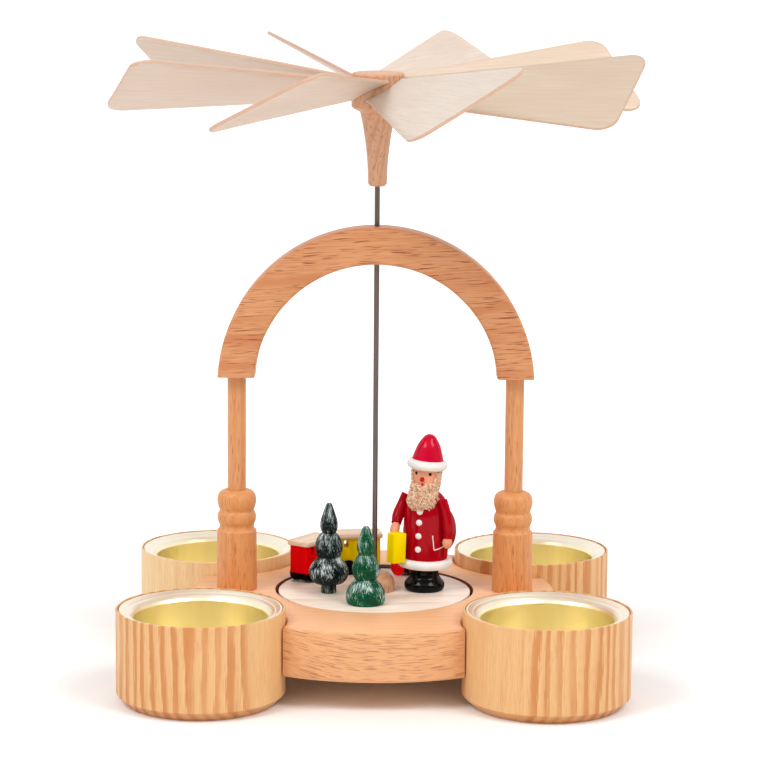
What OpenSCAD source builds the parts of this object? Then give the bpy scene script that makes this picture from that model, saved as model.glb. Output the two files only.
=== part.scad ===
// Candle pyramid: four tea-light cups carry a round base, two columns and an arch,
// and a spindle with a propeller turns a scene of trees, a figure and a train.
// Millimetres, origin on the table under the spindle, +Z up, front towards -Y.

/* [Tea-light inserts] */
// Inner radius of an insert, for a tea light of 38 to 39 mm
tealight_r = 19.8; // [19:0.1:24]
// Thickness of the tin
tin_t = 0.5; // [0.3:0.1:0.8]
// Depth of an insert below its flange
tin_depth = 17; // [12:0.5:21]
// Width of the insert's flange
flange_w = 3.8; // [3:0.1:5]

/* [Candle cups] */
// Height of a cup
cup_h = 28.2; // [23.5:0.1:34]
// Thin wooden rim round the flange
cup_rim = 0.7; // [0.5:0.1:1.5]
// Chamfer round the foot of a cup
cup_chamfer = 3; // [1:0.2:4]
// How deep a cup sits in the edge of the base plate
cup_bite = 14.9; // [12:0.1:18]
// Angle from the X axis to a cup
cup_angle = 39.4; // [36:0.2:46]
// Diameter of the dowel that pins a cup
dowel_d = 4; // [3:0.2:5]

/* [Base plate] */
// Thickness of the base plate
base_h = 15; // [12.5:0.5:18]
// Height of the underside above the table
base_lift = 9.2; // [4:0.2:10]
// Plate left outside the column feet
base_rim = 7.05; // [5:0.05:10]
// Chamfer of the plate's edges
base_edge = 0.8; // [0.3:0.1:1.5]

/* [Turntable] */
// Radius of the turning disc
turntable_r = 29.9; // [25:0.1:36]
// Thickness of the disc
turntable_h = 4.6; // [3.6:0.1:5.6]
// Depth of the disc's top below the plate's top
turntable_drop = 0.3; // [0:0.1:1]
// Radius of the knob round the spindle
knob_r = 6.3; // [4:0.1:8]
// Height of the knob
knob_h = 6; // [5:0.1:8]

/* [Columns] */
// Radius of a column's turned foot
foot_r = 6.25; // [5:0.05:7.5]
// Height of the foot
foot_h = 31.2; // [26:0.2:38]
// Plate between the turntable's pocket and a foot
foot_margin = 5.75; // [4:0.05:8]
// Diameter of a post
post_d = 5.7; // [4.7:0.1:7]
// Length of post between the foot and the arch
post_show = 35.6; // [29:0.2:43]
// Length of post inside the foot
post_in_foot = 12; // [8:0.5:15]
// Length of post inside the arch
post_in_arch = 7; // [4:0.5:9]

/* [Arch] */
// Width of the arch board, across the grain of the bow
arch_w = 11.35; // [9.4:0.05:14]
// Thickness of the arch board, front to back
arch_t = 12; // [10:0.2:15]
// Height of the arch's centre below its cut ends
arch_cut = 2.3; // [0.5:0.1:5]

/* [Spindle] */
// Diameter of the spindle
spindle_d = 1.6; // [1.3:0.1:2.2]
// Length of the spindle's point
spindle_point = 2; // [1.5:0.1:3]
// Radius of the bearing cup
bearing_r = 4; // [3:0.1:5]
// Height of the bearing cup
bearing_h = 4.5; // [3.8:0.1:5]

/* [Propeller] */
// Number of blades
blade_count = 8; // [6:1:8]
// Radius of the blade tips
blade_tip_r = 80; // [65:1:100]
// Width of a blade at the hub
blade_root_w = 13.5; // [11:0.5:14]
// Width of a blade at the tip
blade_tip_w = 40.5; // [30:0.5:48]
// Thickness of the veneer
blade_t = 1; // [0.8:0.1:1.5]
// Tilt of a blade
blade_pitch = 28; // [24:1:35]
// How far a blade rises towards its tip
blade_rise = 2; // [0:0.5:4]
// Rounding of the tip corners
blade_corner = 5; // [2:0.5:8]
// Angle of the first blade
blade_start = 18; // [0:1:44]
// Radius of the hub's head
head_r = 8; // [7:0.1:10]
// Height of the hub's head
head_h = 10.2; // [8.5:0.1:13]
// Height of the hub's neck
neck_h = 24; // [20:0.2:29]
// Radius of the neck at its foot
neck_r = 2.85; // [2.3:0.05:3.5]
// Radius of the neck under the head
neck_top_r = 5.45; // [4.5:0.05:6.5]
// Space between the arch and the hub
hub_gap = 12.3; // [6:0.1:20]
// Length of spindle inside the hub
hub_grip = 15; // [10:0.5:20]
// Lean of the propeller towards the front, because its bore is a little askew
hub_lean = 3; // [0:0.5:4]

/* [Figure] */
// Distance of the figure from the spindle
figure_out = 15.6; // [14.5:0.1:16.5]
// Direction of the figure, seen from the spindle
figure_dir = 4.6; // [0:0.2:12]
// How far the figure is turned towards its right
figure_turn = -20; // [-40:1:0]
// Lean of the figure above its boots, towards the right
figure_lean = 1.6; // [0:0.1:2]
// Radius of the coat
coat_r = 7.1; // [6.5:0.1:7.6]
// Radius of the fur hem
hem_r = 8.6; // [8:0.1:9.2]

/* [Trees] */
// Distance of the dark tree from the spindle
dark_tree_out = 14.6; // [14:0.1:16]
// Direction of the dark tree
dark_tree_dir = 195; // [190:0.5:200]
// Distance of the green tree from the spindle
green_tree_out = 17.8; // [15:0.1:20]
// Direction of the green tree
green_tree_dir = 261.5; // [255:0.5:270]

/* [Train] */
// Radius of the circle that the train stands on
track_r = 24.7; // [24:0.1:25]
// Direction of the red wagon
red_wagon_dir = 143.8; // [143.6:0.2:148]
// Direction of the yellow wagon
yellow_wagon_dir = 102.5; // [99:0.1:102.5]
// Direction of the locomotive
loco_dir = 60; // [57:0.5:62]
// Length of a wagon's body
wagon_l = 13.6; // [11:0.1:14]
// Width of a wagon's body
wagon_w = 6.8; // [6:0.1:7]
// Height of a wagon's body
wagon_h = 8.8; // [7:0.1:10]
// Height of a chassis above the disc, its top
chassis_top = 2.9; // [2.5:0.1:3.5]
// Diameter of a wheel
wheel_d = 4.8; // [4:0.1:5.6]
// Thickness of a roof
roof_t = 1.6; // [1:0.1:2]

/* [Fits] */
// Play of a glued joint
glue_gap = 0.05; // [0.03:0.01:0.1]
// Play between a shaped piece and the round form that it is glued against
seat_gap = 0.12; // [0.1:0.01:0.2]
// Play of the spindle in the arch
running_gap = 0.08; // [0.05:0.01:0.1]
// Play between a cup's wall and the insert
insert_gap = 0.3; // [0.2:0.05:0.5]
// Play between the flange and the wooden rim
flange_gap = 0.2; // [0.1:0.05:0.4]
// Play between a cup and its scallop
scallop_gap = 0.25; // [0.1:0.05:0.5]
// Gap round the turntable
turntable_gap = 0.8; // [0.5:0.1:1.2]
// Space under the turntable
turntable_under = 1.2; // [0.8:0.1:1.6]

/* [Hidden] */
$fn = 64;
cut = 1;                                             // how far a cutter runs past a face
film = 0.01;                                         // glue between the figure's turned pieces

spindle_r = spindle_d / 2;
post_r = post_d / 2;
base_top = base_lift + base_h;

tin_r = tealight_r + tin_t;                          // outside of the insert's wall
flange_r = tin_r + flange_w;
rebate_r = flange_r + flange_gap;
cup_r = rebate_r + cup_rim;
cup_edge = 0.35;                                     // broken edge of the rim
rebate_h = 0.9;                                      // depth of the flange's rebate in the rim
flange_z = cup_h - rebate_h;                         // underside of the flange
tin_floor_z = flange_z - tin_depth;
funnel_h = 1.9;                                      // height of the flange's slope under its hem
flange_hem = 0.9;                                    // level outer ring of the flange, which rests on the cup

pocket_r = turntable_r + turntable_gap;
pocket_z = base_top - turntable_drop - turntable_h - turntable_under;
deck_z = base_top - turntable_drop;                  // top of the turntable
disc_edge = 0.3;                                     // broken edge of the disc
column_x = pocket_r + foot_margin + foot_r;
base_r = column_x + foot_r + base_rim;
cup_out = base_r + cup_r - cup_bite;                 // from the spindle to a cup's axis
foot_tenon_r = 3;
foot_tenon_h = 8;

dowel_len = 13;
dowel_in_cup = cup_rim + 2.4;                        // how far a dowel enters the cup's wall
dowel_z = (base_lift + pocket_z) / 2;

arch_foot_z = base_top + foot_h + post_show;
arch_mid_r = sqrt(column_x * column_x + arch_cut * arch_cut);
arch_out_r = arch_mid_r + arch_w / 2;
arch_in_r = arch_mid_r - arch_w / 2;
arch_z = arch_foot_z - arch_cut;
arch_crown_z = arch_z + arch_out_r;

bearing_z = pocket_z - bearing_h;
bearing_floor = 1.2;                                 // brass under the spindle's point
spindle_foot_z = bearing_z + bearing_floor;
point_r = 0.2;                                       // blunt end of the spindle's point
hub_z = arch_crown_z + hub_gap;
spindle_top_z = hub_z + hub_grip;
hub_edge = 0.5;                                      // broken edges of the hub
collar_h = 1.4;                                      // flare between neck and head
head_z = hub_z + neck_h;
blade_z = head_z + head_h / 2;
blade_in_r = 4.6;                                    // where a blade's root ends in its slot
blade_slope = (blade_tip_w - blade_root_w) / 2 / (blade_tip_r - head_r);
// How far each hand-glued blade is off its even direction and off the common tilt
blade_turns = [0.4, -1.1, -2.6, -2.9, 0.8, 2.9, 0.5, 3.2];
blade_tilts = [0, 2.7, 1.9, 7, -0.8, -1.6, 1.6, 0];

// Turned profiles of the trees, radius and height above the turntable
dark_profile = [
    [2.35, 0], [2.35, 3.1], [4.3, 3.1], [5, 3.65], [5.75, 4.7], [6.2, 6.8], [5.35, 8.85], [4.1, 10.4],
    [3.5, 11.35], [3.8, 12], [4.15, 13], [4.3, 14.8], [3.8, 16.7], [3.1, 18],
    [2.1, 18.85], [2.4, 19.5], [2.7, 20.6], [2.75, 21.6], [2.55, 22.9], [2.05, 24.5], [1.55, 26],
    [1.1, 27.3], [0.6, 28.2]
];
green_profile = [
    [5.45, 0], [5.75, 0.5], [5.95, 1.5], [6, 2.6], [5.7, 4], [4.9, 5.5], [4, 6.6], [3.2, 7.4],
    [3.55, 8.1], [4.05, 9.3], [4.2, 11], [3.8, 12.7], [3.15, 14], [2.15, 15],
    [2.45, 15.8], [2.72, 17], [2.72, 18.2], [2.4, 19.6], [1.9, 21], [1.45, 22.3], [1.1, 23.2], [0.6, 24]
];

// Heights of the figure's pieces above the turntable
boots_h = 7.3;
coat_z = 10.1;
neck_z = 30.6;
brim_z = 38;
hat_z = 41;
hat_top_z = 48.9;
hat_r = 4.9;
brim_r = 6.3;
face_r = 5.25;
beard_r = 4.9;
beard_z = 24.4;
beard_top_z = 35.4;
beard_out = 3.2;                                     // axis of the beard before the figure's axis
beard_back = 2;                                      // cut behind the beard, before the figure's axis
boot_r = 6.25;
shaft_r = 4.4;                                       // boots under the hem
parcel = [4.7, 3.8, 9.2];
parcel_at = [-6.46, -8.68, coat_z - 0.6];
parcel_turn = 55;                                    // against the figure's own front
sleeve_right_r = 1.7;
sleeve_left_r = 1.5;
hand_r = 1.45;
shoulder_right = [-7, 0.3, 28.6];
wrist_right = [-7.7, -4.7, 21.4];
shoulder_left = [6.3, -3, 28.3];
wrist_left = [8.2, -3.1, 17.6];
sack_back = 7.6;
sack_r = 7.3;
sack_z = coat_z + 0.5;
sack_h = 16.7;

wheel_r = wheel_d / 2;
wheel_t = 0.9;
axle_x = 3.4;
roof_over = 0.7;
chassis_low = 1;                                     // underside of a chassis above the disc
chassis_over = 0.2;
window = [1.4, 2.4];
window_x = 4.1;
window_drop = 0.6;                                   // wall above a window
loco_l = 12.6;
loco_h = 7;
loco_cab_l = 5;
boiler_r = 2.6;
boiler_flat = 0.4;                                   // flat under the boiler, on the chassis
chimney_h = 3;
chimney_x = loco_l / 2 - 2;
flue_r = 0.8;
cowl_r = 1.2;
cowl_h = 1;

// Direction and heading of the red wagon, the yellow wagon and the locomotive
train_dir = [red_wagon_dir, yellow_wagon_dir, loco_dir];
train_heading = [56, 8, loco_dir - 90];
vehicle_l = [wagon_l, wagon_l, loco_l];

cups = ["fl", "fr", "rl", "rr"];
cup_sign = [[-1, -1], [1, -1], [-1, 1], [1, 1]];
sides = ["l", "r"];

// Point at a distance and direction from the spindle
function polar(r, a) = [r * cos(a), r * sin(a)];

// Value between a and b
function mix(a, b, t) = a + (b - a) * t;

// Where a cup's axis stands
function cup_at(i) = [cup_sign[i][0] * cup_out * cos(cup_angle), cup_sign[i][1] * cup_out * sin(cup_angle)];

// Points of one turned bulge: radius from r0 to r1 over heights z0 to z1, swelling to rm low down
function bulge(z0, z1, r0, rm, r1, skew = 0.7, n = 8) = [
    for (i = [0:n])
        let (t = i / n, r = mix(r0, r1, t))
        [r + (rm - r) * sin(180 * pow(t, skew)), mix(z0, z1, t)]
];

// Solid of revolution under a list of [radius, height] points
module turned(points) {
    last = len(points) - 1;
    rotate_extrude()
        polygon(concat([[0, points[0][1]]], points, [[0, points[last][1]]]));
}

// Round bar between two points
module bar(a, b, r) {
    d = b - a;
    translate(a)
        rotate([0, acos(d[2] / norm(d)), atan2(d[1], d[0])])
            cylinder(h = norm(d), r = r);
}

// The place of the figure on the turntable
module on_figure() {
    at = polar(figure_out, figure_dir);
    translate([at[0], at[1], deck_z])
        rotate(figure_turn)
            children();
}

// The place of what stands on the boots, which leans about their top and is lifted clear of them
module on_boots() {
    at = polar(figure_out, figure_dir);
    lift = shaft_r * sin(figure_lean) + 0.02;
    translate([at[0], at[1], deck_z + boots_h + lift])
        rotate([0, figure_lean, 0])
            rotate(figure_turn)
                translate([0, 0, -boots_h])
                    children();
}

// The place of a vehicle on the turntable, X along the track
module on_track(i) {
    at = polar(track_r, train_dir[i]);
    translate([at[0], at[1], deck_z])
        rotate(train_heading[i])
            children();
}

// Stand

// Scallops, tenon sockets and dowel holes of the base
module base_cuts() {
    for (i = [0:3])
        translate(cup_at(i))
            cylinder(h = base_top + cut, r = cup_r + scallop_gap);
    for (s = [-1, 1])
        translate([s * column_x, 0, base_top - foot_tenon_h - glue_gap])
            cylinder(h = foot_tenon_h + cut, r = foot_tenon_r + glue_gap);
    dowels(glue_gap);
}

// Lower board of the base, up to the floor of the turntable's pocket
module base_plate() {
    color("burlywood")
        difference() {
            turned([[base_r - base_edge, base_lift], [base_r, base_lift + base_edge], [base_r, pocket_z]]);
            translate([0, 0, bearing_z])
                cylinder(h = base_h, r = bearing_r + glue_gap);
            base_cuts();
        }
}

// Upper board of the base, a ring round the pocket
module base_ring() {
    color("burlywood")
        difference() {
            turned([[base_r, pocket_z + glue_gap], [base_r, base_top - base_edge],
                    [base_r - base_edge, base_top]]);
            translate([0, 0, pocket_z])
                cylinder(h = base_h, r = pocket_r);
            base_cuts();
        }
}

// Four pins from the base plate into the cups
module dowels(grow = 0) {
    for (i = [0:3]) {
        axis = atan2(cup_at(i)[1], cup_at(i)[0]);
        rotate(axis)
            translate([cup_out - cup_r + dowel_in_cup - dowel_len - grow, 0, dowel_z])
                rotate([0, 90, 0])
                    cylinder(h = dowel_len + 2 * grow, d = dowel_d + 2 * grow);
    }
}

module cup(i) {
    color("wheat")
        difference() {
            translate(cup_at(i))
                turned([[cup_r - cup_chamfer, 0], [cup_r, cup_chamfer],
                        [cup_r, cup_h - cup_edge], [cup_r - cup_edge, cup_h]]);
            translate(cup_at(i))
                turned([[tin_r + insert_gap, tin_floor_z - insert_gap],
                        [tin_r + insert_gap, flange_z - funnel_h],
                        [flange_r - flange_hem + insert_gap, flange_z], [rebate_r, flange_z],
                        [rebate_r, cup_h + cut]]);
            dowels(glue_gap);
        }
}

module cup_dowels() {
    color("tan") dowels();
}

module tin_insert(i) {
    lip_h = rebate_h - 0.05;                         // the lip stays a little below the cup's rim
    drop = lip_h + funnel_h - 0.15;                  // from the lip to the top of the wall
    // share of the flange's width inwards and of the drop: level lip, slope, groove and rolled edge
    rows = [[0, 0], [0.16, 0], [0.45, 0.25], [0.5, 0.33], [0.58, 0.31], [0.79, 0.48], [0.95, 0.71]];
    color("khaki")
        translate(concat(cup_at(i), [flange_z]))
            rotate_extrude()
                polygon(concat([[0, -tin_depth], [tin_r, -tin_depth], [tin_r, -funnel_h],
                                [flange_r - flange_hem, 0], [flange_r, 0]],
                               [for (row = rows) [flange_r - row[0] * flange_w, lip_h - row[1] * drop]],
                               [[tealight_r, lip_h - drop], [tealight_r, tin_t - tin_depth],
                                [0, tin_t - tin_depth]]));
}

module column_foot(s) {
    neck_groove = foot_r * 0.86;
    ring = foot_r * 0.96;
    color("burlywood")
        translate([s * column_x, 0, base_top])
            difference() {
                union() {
                    turned(concat(
                        [[foot_r, 0], [foot_r * 0.97, foot_h * 0.59]],
                        bulge(foot_h * 0.6, foot_h * 0.67, foot_r * 0.96, neck_groove, ring, 1, 6),
                        bulge(foot_h * 0.675, foot_h * 0.81, neck_groove, ring, neck_groove, 1, 8),
                        bulge(foot_h * 0.82, foot_h, neck_groove, ring, post_r + 1, 0.9, 8)));
                    translate([0, 0, -foot_tenon_h])
                        cylinder(h = foot_tenon_h + cut, r = foot_tenon_r);
                }
                translate([0, 0, foot_h - post_in_foot])
                    cylinder(h = post_in_foot + cut, r = post_r + glue_gap);
            }
}

module post(s) {
    color("burlywood")
        translate([s * column_x, 0, base_top + foot_h - post_in_foot])
            cylinder(h = post_in_foot + post_show + post_in_arch - glue_gap, r = post_r);
}

module arch() {
    color("peru")
        difference() {
            translate([0, arch_t / 2, arch_z])
                rotate([90, 0, 0])
                    linear_extrude(arch_t)
                        difference() {
                            circle(r = arch_out_r, $fn = 128);
                            circle(r = arch_in_r, $fn = 128);
                            translate([-arch_out_r - cut, -arch_out_r - cut])
                                square([2 * (arch_out_r + cut), arch_out_r + cut + arch_cut]);
                        }
            for (s = [-1, 1])
                translate([s * column_x, 0, arch_foot_z - cut])
                    cylinder(h = cut + post_in_arch, r = post_r + glue_gap);
            translate([0, 0, arch_z])
                cylinder(h = arch_out_r + cut, r = spindle_r + running_gap);
        }
}

module bearing_cup() {
    dimple_r = spindle_r + 1;
    dimple_z = spindle_foot_z - bearing_z - glue_gap;
    color("gold")
        translate([0, 0, bearing_z])
            rotate_extrude()
                polygon([[0, 0], [bearing_r, 0], [bearing_r, bearing_h], [dimple_r, bearing_h],
                         [dimple_r, bearing_h * 0.8], [point_r + 0.15, dimple_z], [0, dimple_z]]);
}

// Rotor

module spindle() {
    color("slategray")
        turned([[point_r, spindle_foot_z], [spindle_r, spindle_foot_z + spindle_point],
                [spindle_r, spindle_top_z]]);
}

module turntable() {
    color("linen")
        difference() {
            translate([0, 0, deck_z - turntable_h])
                turned([[turntable_r - disc_edge, 0], [turntable_r, disc_edge],
                        [turntable_r, turntable_h - disc_edge], [turntable_r - disc_edge, turntable_h]]);
            translate([0, 0, deck_z - turntable_h - cut])
                cylinder(h = turntable_h + 2 * cut, r = spindle_r + glue_gap);
        }
}

module turntable_knob() {
    color("burlywood")
        translate([0, 0, deck_z])
            difference() {
                turned(concat([[knob_r, 0], [knob_r, knob_h * 0.35]],
                              [for (a = [15:15:75]) [knob_r * 0.3 + knob_r * 0.7 * cos(a),
                                                     knob_h * 0.35 + knob_h * 0.65 * sin(a)]],
                              [[knob_r * 0.3, knob_h]]));
                translate([0, 0, -cut])
                    cylinder(h = knob_h + 2 * cut, r = spindle_r + glue_gap);
            }
}

// Slab of a blade in its slot, or of the slot itself
module blade_slab(i, grow = 0) {
    tip_x = blade_tip_r - blade_corner;
    side = atan(blade_slope);
    corner_y = blade_root_w / 2 + blade_slope * (tip_x - head_r) - blade_corner / cos(side);
    high = [for (k = [0:8]) let (a = k * (90 + side) / 8)
            [tip_x + blade_corner * cos(a), corner_y + blade_corner * sin(a)]];
    low = [for (k = [8:-1:0]) [high[k][0], -high[k][1]]];
    root_w = blade_root_w / 2;
    tilt = blade_pitch + blade_tilts[i - 1];
    rotate(blade_start + (i - 1) * 360 / blade_count + blade_turns[i - 1])
        translate([0, 0, blade_z])
            rotate([0, -blade_rise, 0]) rotate([tilt, 0, 0])
                if (grow > 0)
                    translate([blade_in_r - grow, -root_w - grow, -blade_t / 2 - grow])
                        cube([head_r, 2 * (root_w + grow), blade_t + 2 * grow]);
                else
                    translate([0, 0, -blade_t / 2])
                        linear_extrude(blade_t)
                            polygon(concat([[blade_in_r, -root_w], [head_r, -root_w]], low, high,
                                           [[head_r, root_w], [blade_in_r, root_w]]));
}

// The place of the propeller, which leans about the middle of its grip
module on_hub() {
    grip_z = hub_z + hub_grip / 2;
    translate([0, 0, grip_z])
        rotate([hub_lean, 0, 0])
            translate([0, 0, -grip_z])
                children();
}

module blade(i) {
    color("antiquewhite") on_hub() blade_slab(i);
}

module propeller_hub() {
    color("tan")
        difference() {
            on_hub()
                turned(concat(
                    [[neck_r - hub_edge, hub_z]],
                    [for (t = [0.03:0.12:1])
                        [mix(neck_r, neck_top_r, t * t), hub_z + t * (neck_h - collar_h)]],
                    [[head_r - hub_edge, head_z - hub_edge], [head_r, head_z],
                     [head_r, head_z + head_h - hub_edge], [head_r - hub_edge, head_z + head_h]]));
            translate([0, 0, hub_z - cut])
                cylinder(h = hub_grip + cut + glue_gap, r = spindle_r + glue_gap);
            for (i = [1:blade_count])
                on_hub() blade_slab(i, glue_gap);
        }
}

module dark_tree() {
    at = polar(dark_tree_out, dark_tree_dir);
    color("darkslategray")
        translate([at[0], at[1], deck_z])
            turned(dark_profile);
}

module green_tree() {
    at = polar(green_tree_out, green_tree_dir);
    color("seagreen")
        translate([at[0], at[1], deck_z])
            turned(green_profile);
}

// Figure

module figure_boots() {
    color("black") on_figure()
        turned([[boot_r - 1, 0], [boot_r - 0.1, 0.9], [boot_r, 1.7], [boot_r - 0.2, 2.4],
                [boot_r - 0.75, 3.2], [shaft_r + 0.5, 4], [shaft_r, 5.2], [shaft_r, boots_h]]);
}

module figure_hem() {
    mid = (boots_h + coat_z) / 2;
    half = (coat_z - boots_h) / 2 - film;
    color("white") on_boots()
        turned([for (a = [-90:15:90]) [hem_r - half + half * cos(a), mid + half * sin(a)]]);
}

// Coat, grown by a gap where something lies against it
module coat_form(grow = 0) {
    r = coat_r + grow;
    turned([[r - 0.2, coat_z], [r, coat_z + 4], [r, coat_z + 10], [r - 0.2, coat_z + 14],
            [r - 0.8, coat_z + 17], [r - 1.8, coat_z + 19], [r - 2.9, neck_z]]);
}

module figure_coat() {
    color("crimson") on_boots() coat_form();
}

// Head, grown by a gap where the beard lies against it
module head_form(grow = 0) {
    r = face_r + grow;
    turned([[r - 1.05, neck_z], [r - 0.35, neck_z + 1.2], [r, neck_z + 2.8],
            [r - 0.05, neck_z + 4.5], [r - 0.35, brim_z]]);
}

module figure_head() {
    color("sandybrown") on_boots() head_form();
}

module figure_beard() {
    color("navajowhite") on_boots()
        difference() {
            translate([0, -beard_out, 0])
                turned([[1.4, beard_z], [2.8, beard_z + 0.6], [4.2, beard_z + 2.2], [beard_r, beard_z + 4.2],
                        [beard_r, beard_z + 6.6], [4.3, beard_top_z - 1], [3.6, beard_top_z]]);
            translate([-hem_r, -beard_back, 0])
                cube([2 * hem_r, 2 * hem_r, brim_z]);
            coat_form(seat_gap);
            head_form(seat_gap);
        }
}

module figure_brim() {
    mid = (brim_z + hat_z) / 2;
    half = (hat_z - brim_z) / 2 - film;
    color("white") on_boots()
        turned([for (a = [-90:15:90]) [brim_r - half + half * cos(a), mid + half * sin(a)]]);
}

module figure_hat() {
    // share of the radius and of the height: full sides and a round top
    rows = [[1, 0], [0.95, 0.12], [0.86, 0.3], [0.74, 0.52], [0.62, 0.67], [0.48, 0.8], [0.33, 0.92],
            [0.17, 0.985], [0.03, 1]];
    color("crimson") on_boots()
        turned([for (row = rows) [row[0] * hat_r, mix(hat_z, hat_top_z, row[1])]]);
}

module sleeve(a, b, r) {
    color("crimson") on_boots()
        difference() {
            bar(a, b, r);
            coat_form(seat_gap);
        }
}

module figure_sleeve_right() {
    sleeve(shoulder_right, wrist_right, sleeve_right_r);
}

module figure_sleeve_left() {
    sleeve(shoulder_left, wrist_left, sleeve_left_r);
}

// A hand goes on from its wrist, and is cut flat where it grips the parcel
module hand(shoulder, wrist, reach, low) {
    dir = (wrist - shoulder) / norm(wrist - shoulder);
    difference() {
        bar(wrist + dir * glue_gap, wrist + dir * reach, hand_r);
        translate([-4 * coat_r, -4 * coat_r, low - 4 * coat_r])
            cube([8 * coat_r, 8 * coat_r, 4 * coat_r]);
    }
}

module figure_hands() {
    parcel_top = parcel_at[2] + parcel[2];
    color("sandybrown") on_boots() {
        hand(shoulder_right, wrist_right, 5.4, parcel_top);
        hand(shoulder_left, wrist_left, 3.8, 0);
    }
}

module figure_sack() {
    color("crimson") on_boots()
        difference() {
            translate([0, sack_back, 0])
                turned([for (a = [-80:16:80]) [sack_r * cos(a), sack_z + sack_h / 2 * (1 + sin(a))]]);
            coat_form(seat_gap);
        }
}

module figure_parcel() {
    color("gold") on_boots()
        translate(parcel_at)
            rotate(parcel_turn)
                translate([-parcel[0] / 2, -parcel[1] / 2, 0])
                    cube(parcel);
}

// Train

module chassis(length) {
    color("black")
        translate([-length / 2 - chassis_over, -wagon_w / 2 + chassis_over, chassis_low])
            cube([length + 2 * chassis_over, wagon_w - 2 * chassis_over, chassis_top - chassis_low]);
}

module wagon_body(tint) {
    color(tint)
        translate([-wagon_l / 2, -wagon_w / 2, chassis_top])
            difference() {
                cube([wagon_l, wagon_w, wagon_h]);
                for (s = [-1, 1])
                    translate([wagon_l / 2 + s * window_x - window[0] / 2, -cut,
                               wagon_h - window[1] - window_drop])
                        cube([window[0], wagon_w + 2 * cut, window[1]]);
            }
}

module roof(length, height) {
    color("wheat")
        translate([-length / 2 - roof_over, -wagon_w / 2 - roof_over, chassis_top + height])
            cube([length + 2 * roof_over, wagon_w + 2 * roof_over, roof_t]);
}

module wheels(tint) {
    color(tint)
        for (x = [-axle_x, axle_x], s = [-1, 1])
            translate([x, s * (wagon_w / 2 + glue_gap + wheel_t / 2), wheel_r])
                rotate([90, 0, 0])
                    cylinder(h = wheel_t, r = wheel_r, center = true);
}

module red_wagon_body() {
    on_track(0) wagon_body("red");
}

module red_wagon_chassis() {
    on_track(0) chassis(wagon_l);
}

module red_wagon_roof() {
    on_track(0) roof(wagon_l, wagon_h);
}

module red_wagon_wheels() {
    on_track(0) wheels("black");
}

module yellow_wagon_body() {
    on_track(1) wagon_body("gold");
}

module yellow_wagon_chassis() {
    on_track(1) chassis(wagon_l);
}

module yellow_wagon_roof() {
    on_track(1) roof(wagon_l, wagon_h);
}

module yellow_wagon_wheels() {
    on_track(1) wheels("black");
}

module loco_chassis() {
    on_track(2) chassis(loco_l);
}

module loco_boiler() {
    length = loco_l - loco_cab_l;
    color("darkgreen") on_track(2)
        difference() {
            translate([loco_l / 2 - length + glue_gap, 0, chassis_top + boiler_r])
                rotate([0, 90, 0])
                    cylinder(h = length - glue_gap, r = boiler_r);
            translate([0, -boiler_r - cut, 0])
                cube([loco_l, 2 * (boiler_r + cut), chassis_top + boiler_flat]);
            loco_flue(glue_gap);
        }
}

// Stem of the chimney, set into the boiler
module loco_flue(grow = 0) {
    translate([chimney_x, 0, chassis_top + boiler_r * 1.4])
        cylinder(h = boiler_r * 0.6 + chimney_h, r = flue_r + grow);
}

module loco_cab() {
    color("red") on_track(2)
        translate([-loco_l / 2, -wagon_w / 2, chassis_top])
            difference() {
                cube([loco_cab_l, wagon_w, loco_h]);
                translate([loco_cab_l / 2 - window[0] / 2, -cut, loco_h - window[1] - window_drop])
                    cube([window[0], wagon_w + 2 * cut, window[1]]);
            }
}

module loco_roof() {
    on_track(2)
        translate([(loco_cab_l - loco_l) / 2, 0, 0])
            roof(loco_cab_l, loco_h);
}

module loco_chimney() {
    color("black") on_track(2) {
        loco_flue();
        translate([chimney_x, 0, chassis_top + 2 * boiler_r + chimney_h - cowl_h])
            cylinder(h = cowl_h, r = cowl_r);
    }
}

module loco_wheels() {
    on_track(2) wheels("red");
}

// Middle of a chassis end, front (side 1) or rear (side -1)
function chassis_end(i, side) =
    polar(track_r, train_dir[i]) + side * polar(vehicle_l[i] / 2 + chassis_over, train_heading[i]);

// Pegs between the ends of neighbouring chassis
module train_couplings() {
    peg_r = 0.4;
    peg_z = deck_z + (chassis_low + chassis_top) / 2;
    color("gray")
        for (i = [0, 1]) {
            tail = chassis_end(i, 1);
            head = chassis_end(i + 1, -1);
            d = (head - tail) / norm(head - tail) * (peg_r + glue_gap);
            bar(concat(tail + d, [peg_z]), concat(head - d, [peg_z]), peg_r);
        }
}

base_plate();
base_ring();
for (i = [0:3]) cup(i);
cup_dowels();
for (i = [0, 1]) column_foot(2 * i - 1);
for (i = [0, 1]) post(2 * i - 1);
arch();
bearing_cup();
for (i = [0:3]) tin_insert(i);
spindle();
turntable();
turntable_knob();
propeller_hub();
for (i = [1:blade_count]) blade(i);
dark_tree();
green_tree();
figure_boots();
figure_hem();
figure_coat();
figure_head();
figure_beard();
figure_brim();
figure_hat();
figure_sleeve_right();
figure_sleeve_left();
figure_hands();
figure_sack();
figure_parcel();
red_wagon_body();
red_wagon_chassis();
red_wagon_roof();
red_wagon_wheels();
yellow_wagon_body();
yellow_wagon_chassis();
yellow_wagon_roof();
yellow_wagon_wheels();
loco_chassis();
loco_boiler();
loco_cab();
loco_roof();
loco_chimney();
loco_wheels();
train_couplings();
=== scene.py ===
"""Looks of a candle pyramid: wood, tin, steel and lacquer round the packed frame, in metres."""

import math

import bmesh
import bpy
import numpy as np
from mathutils import Matrix, Vector


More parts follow.
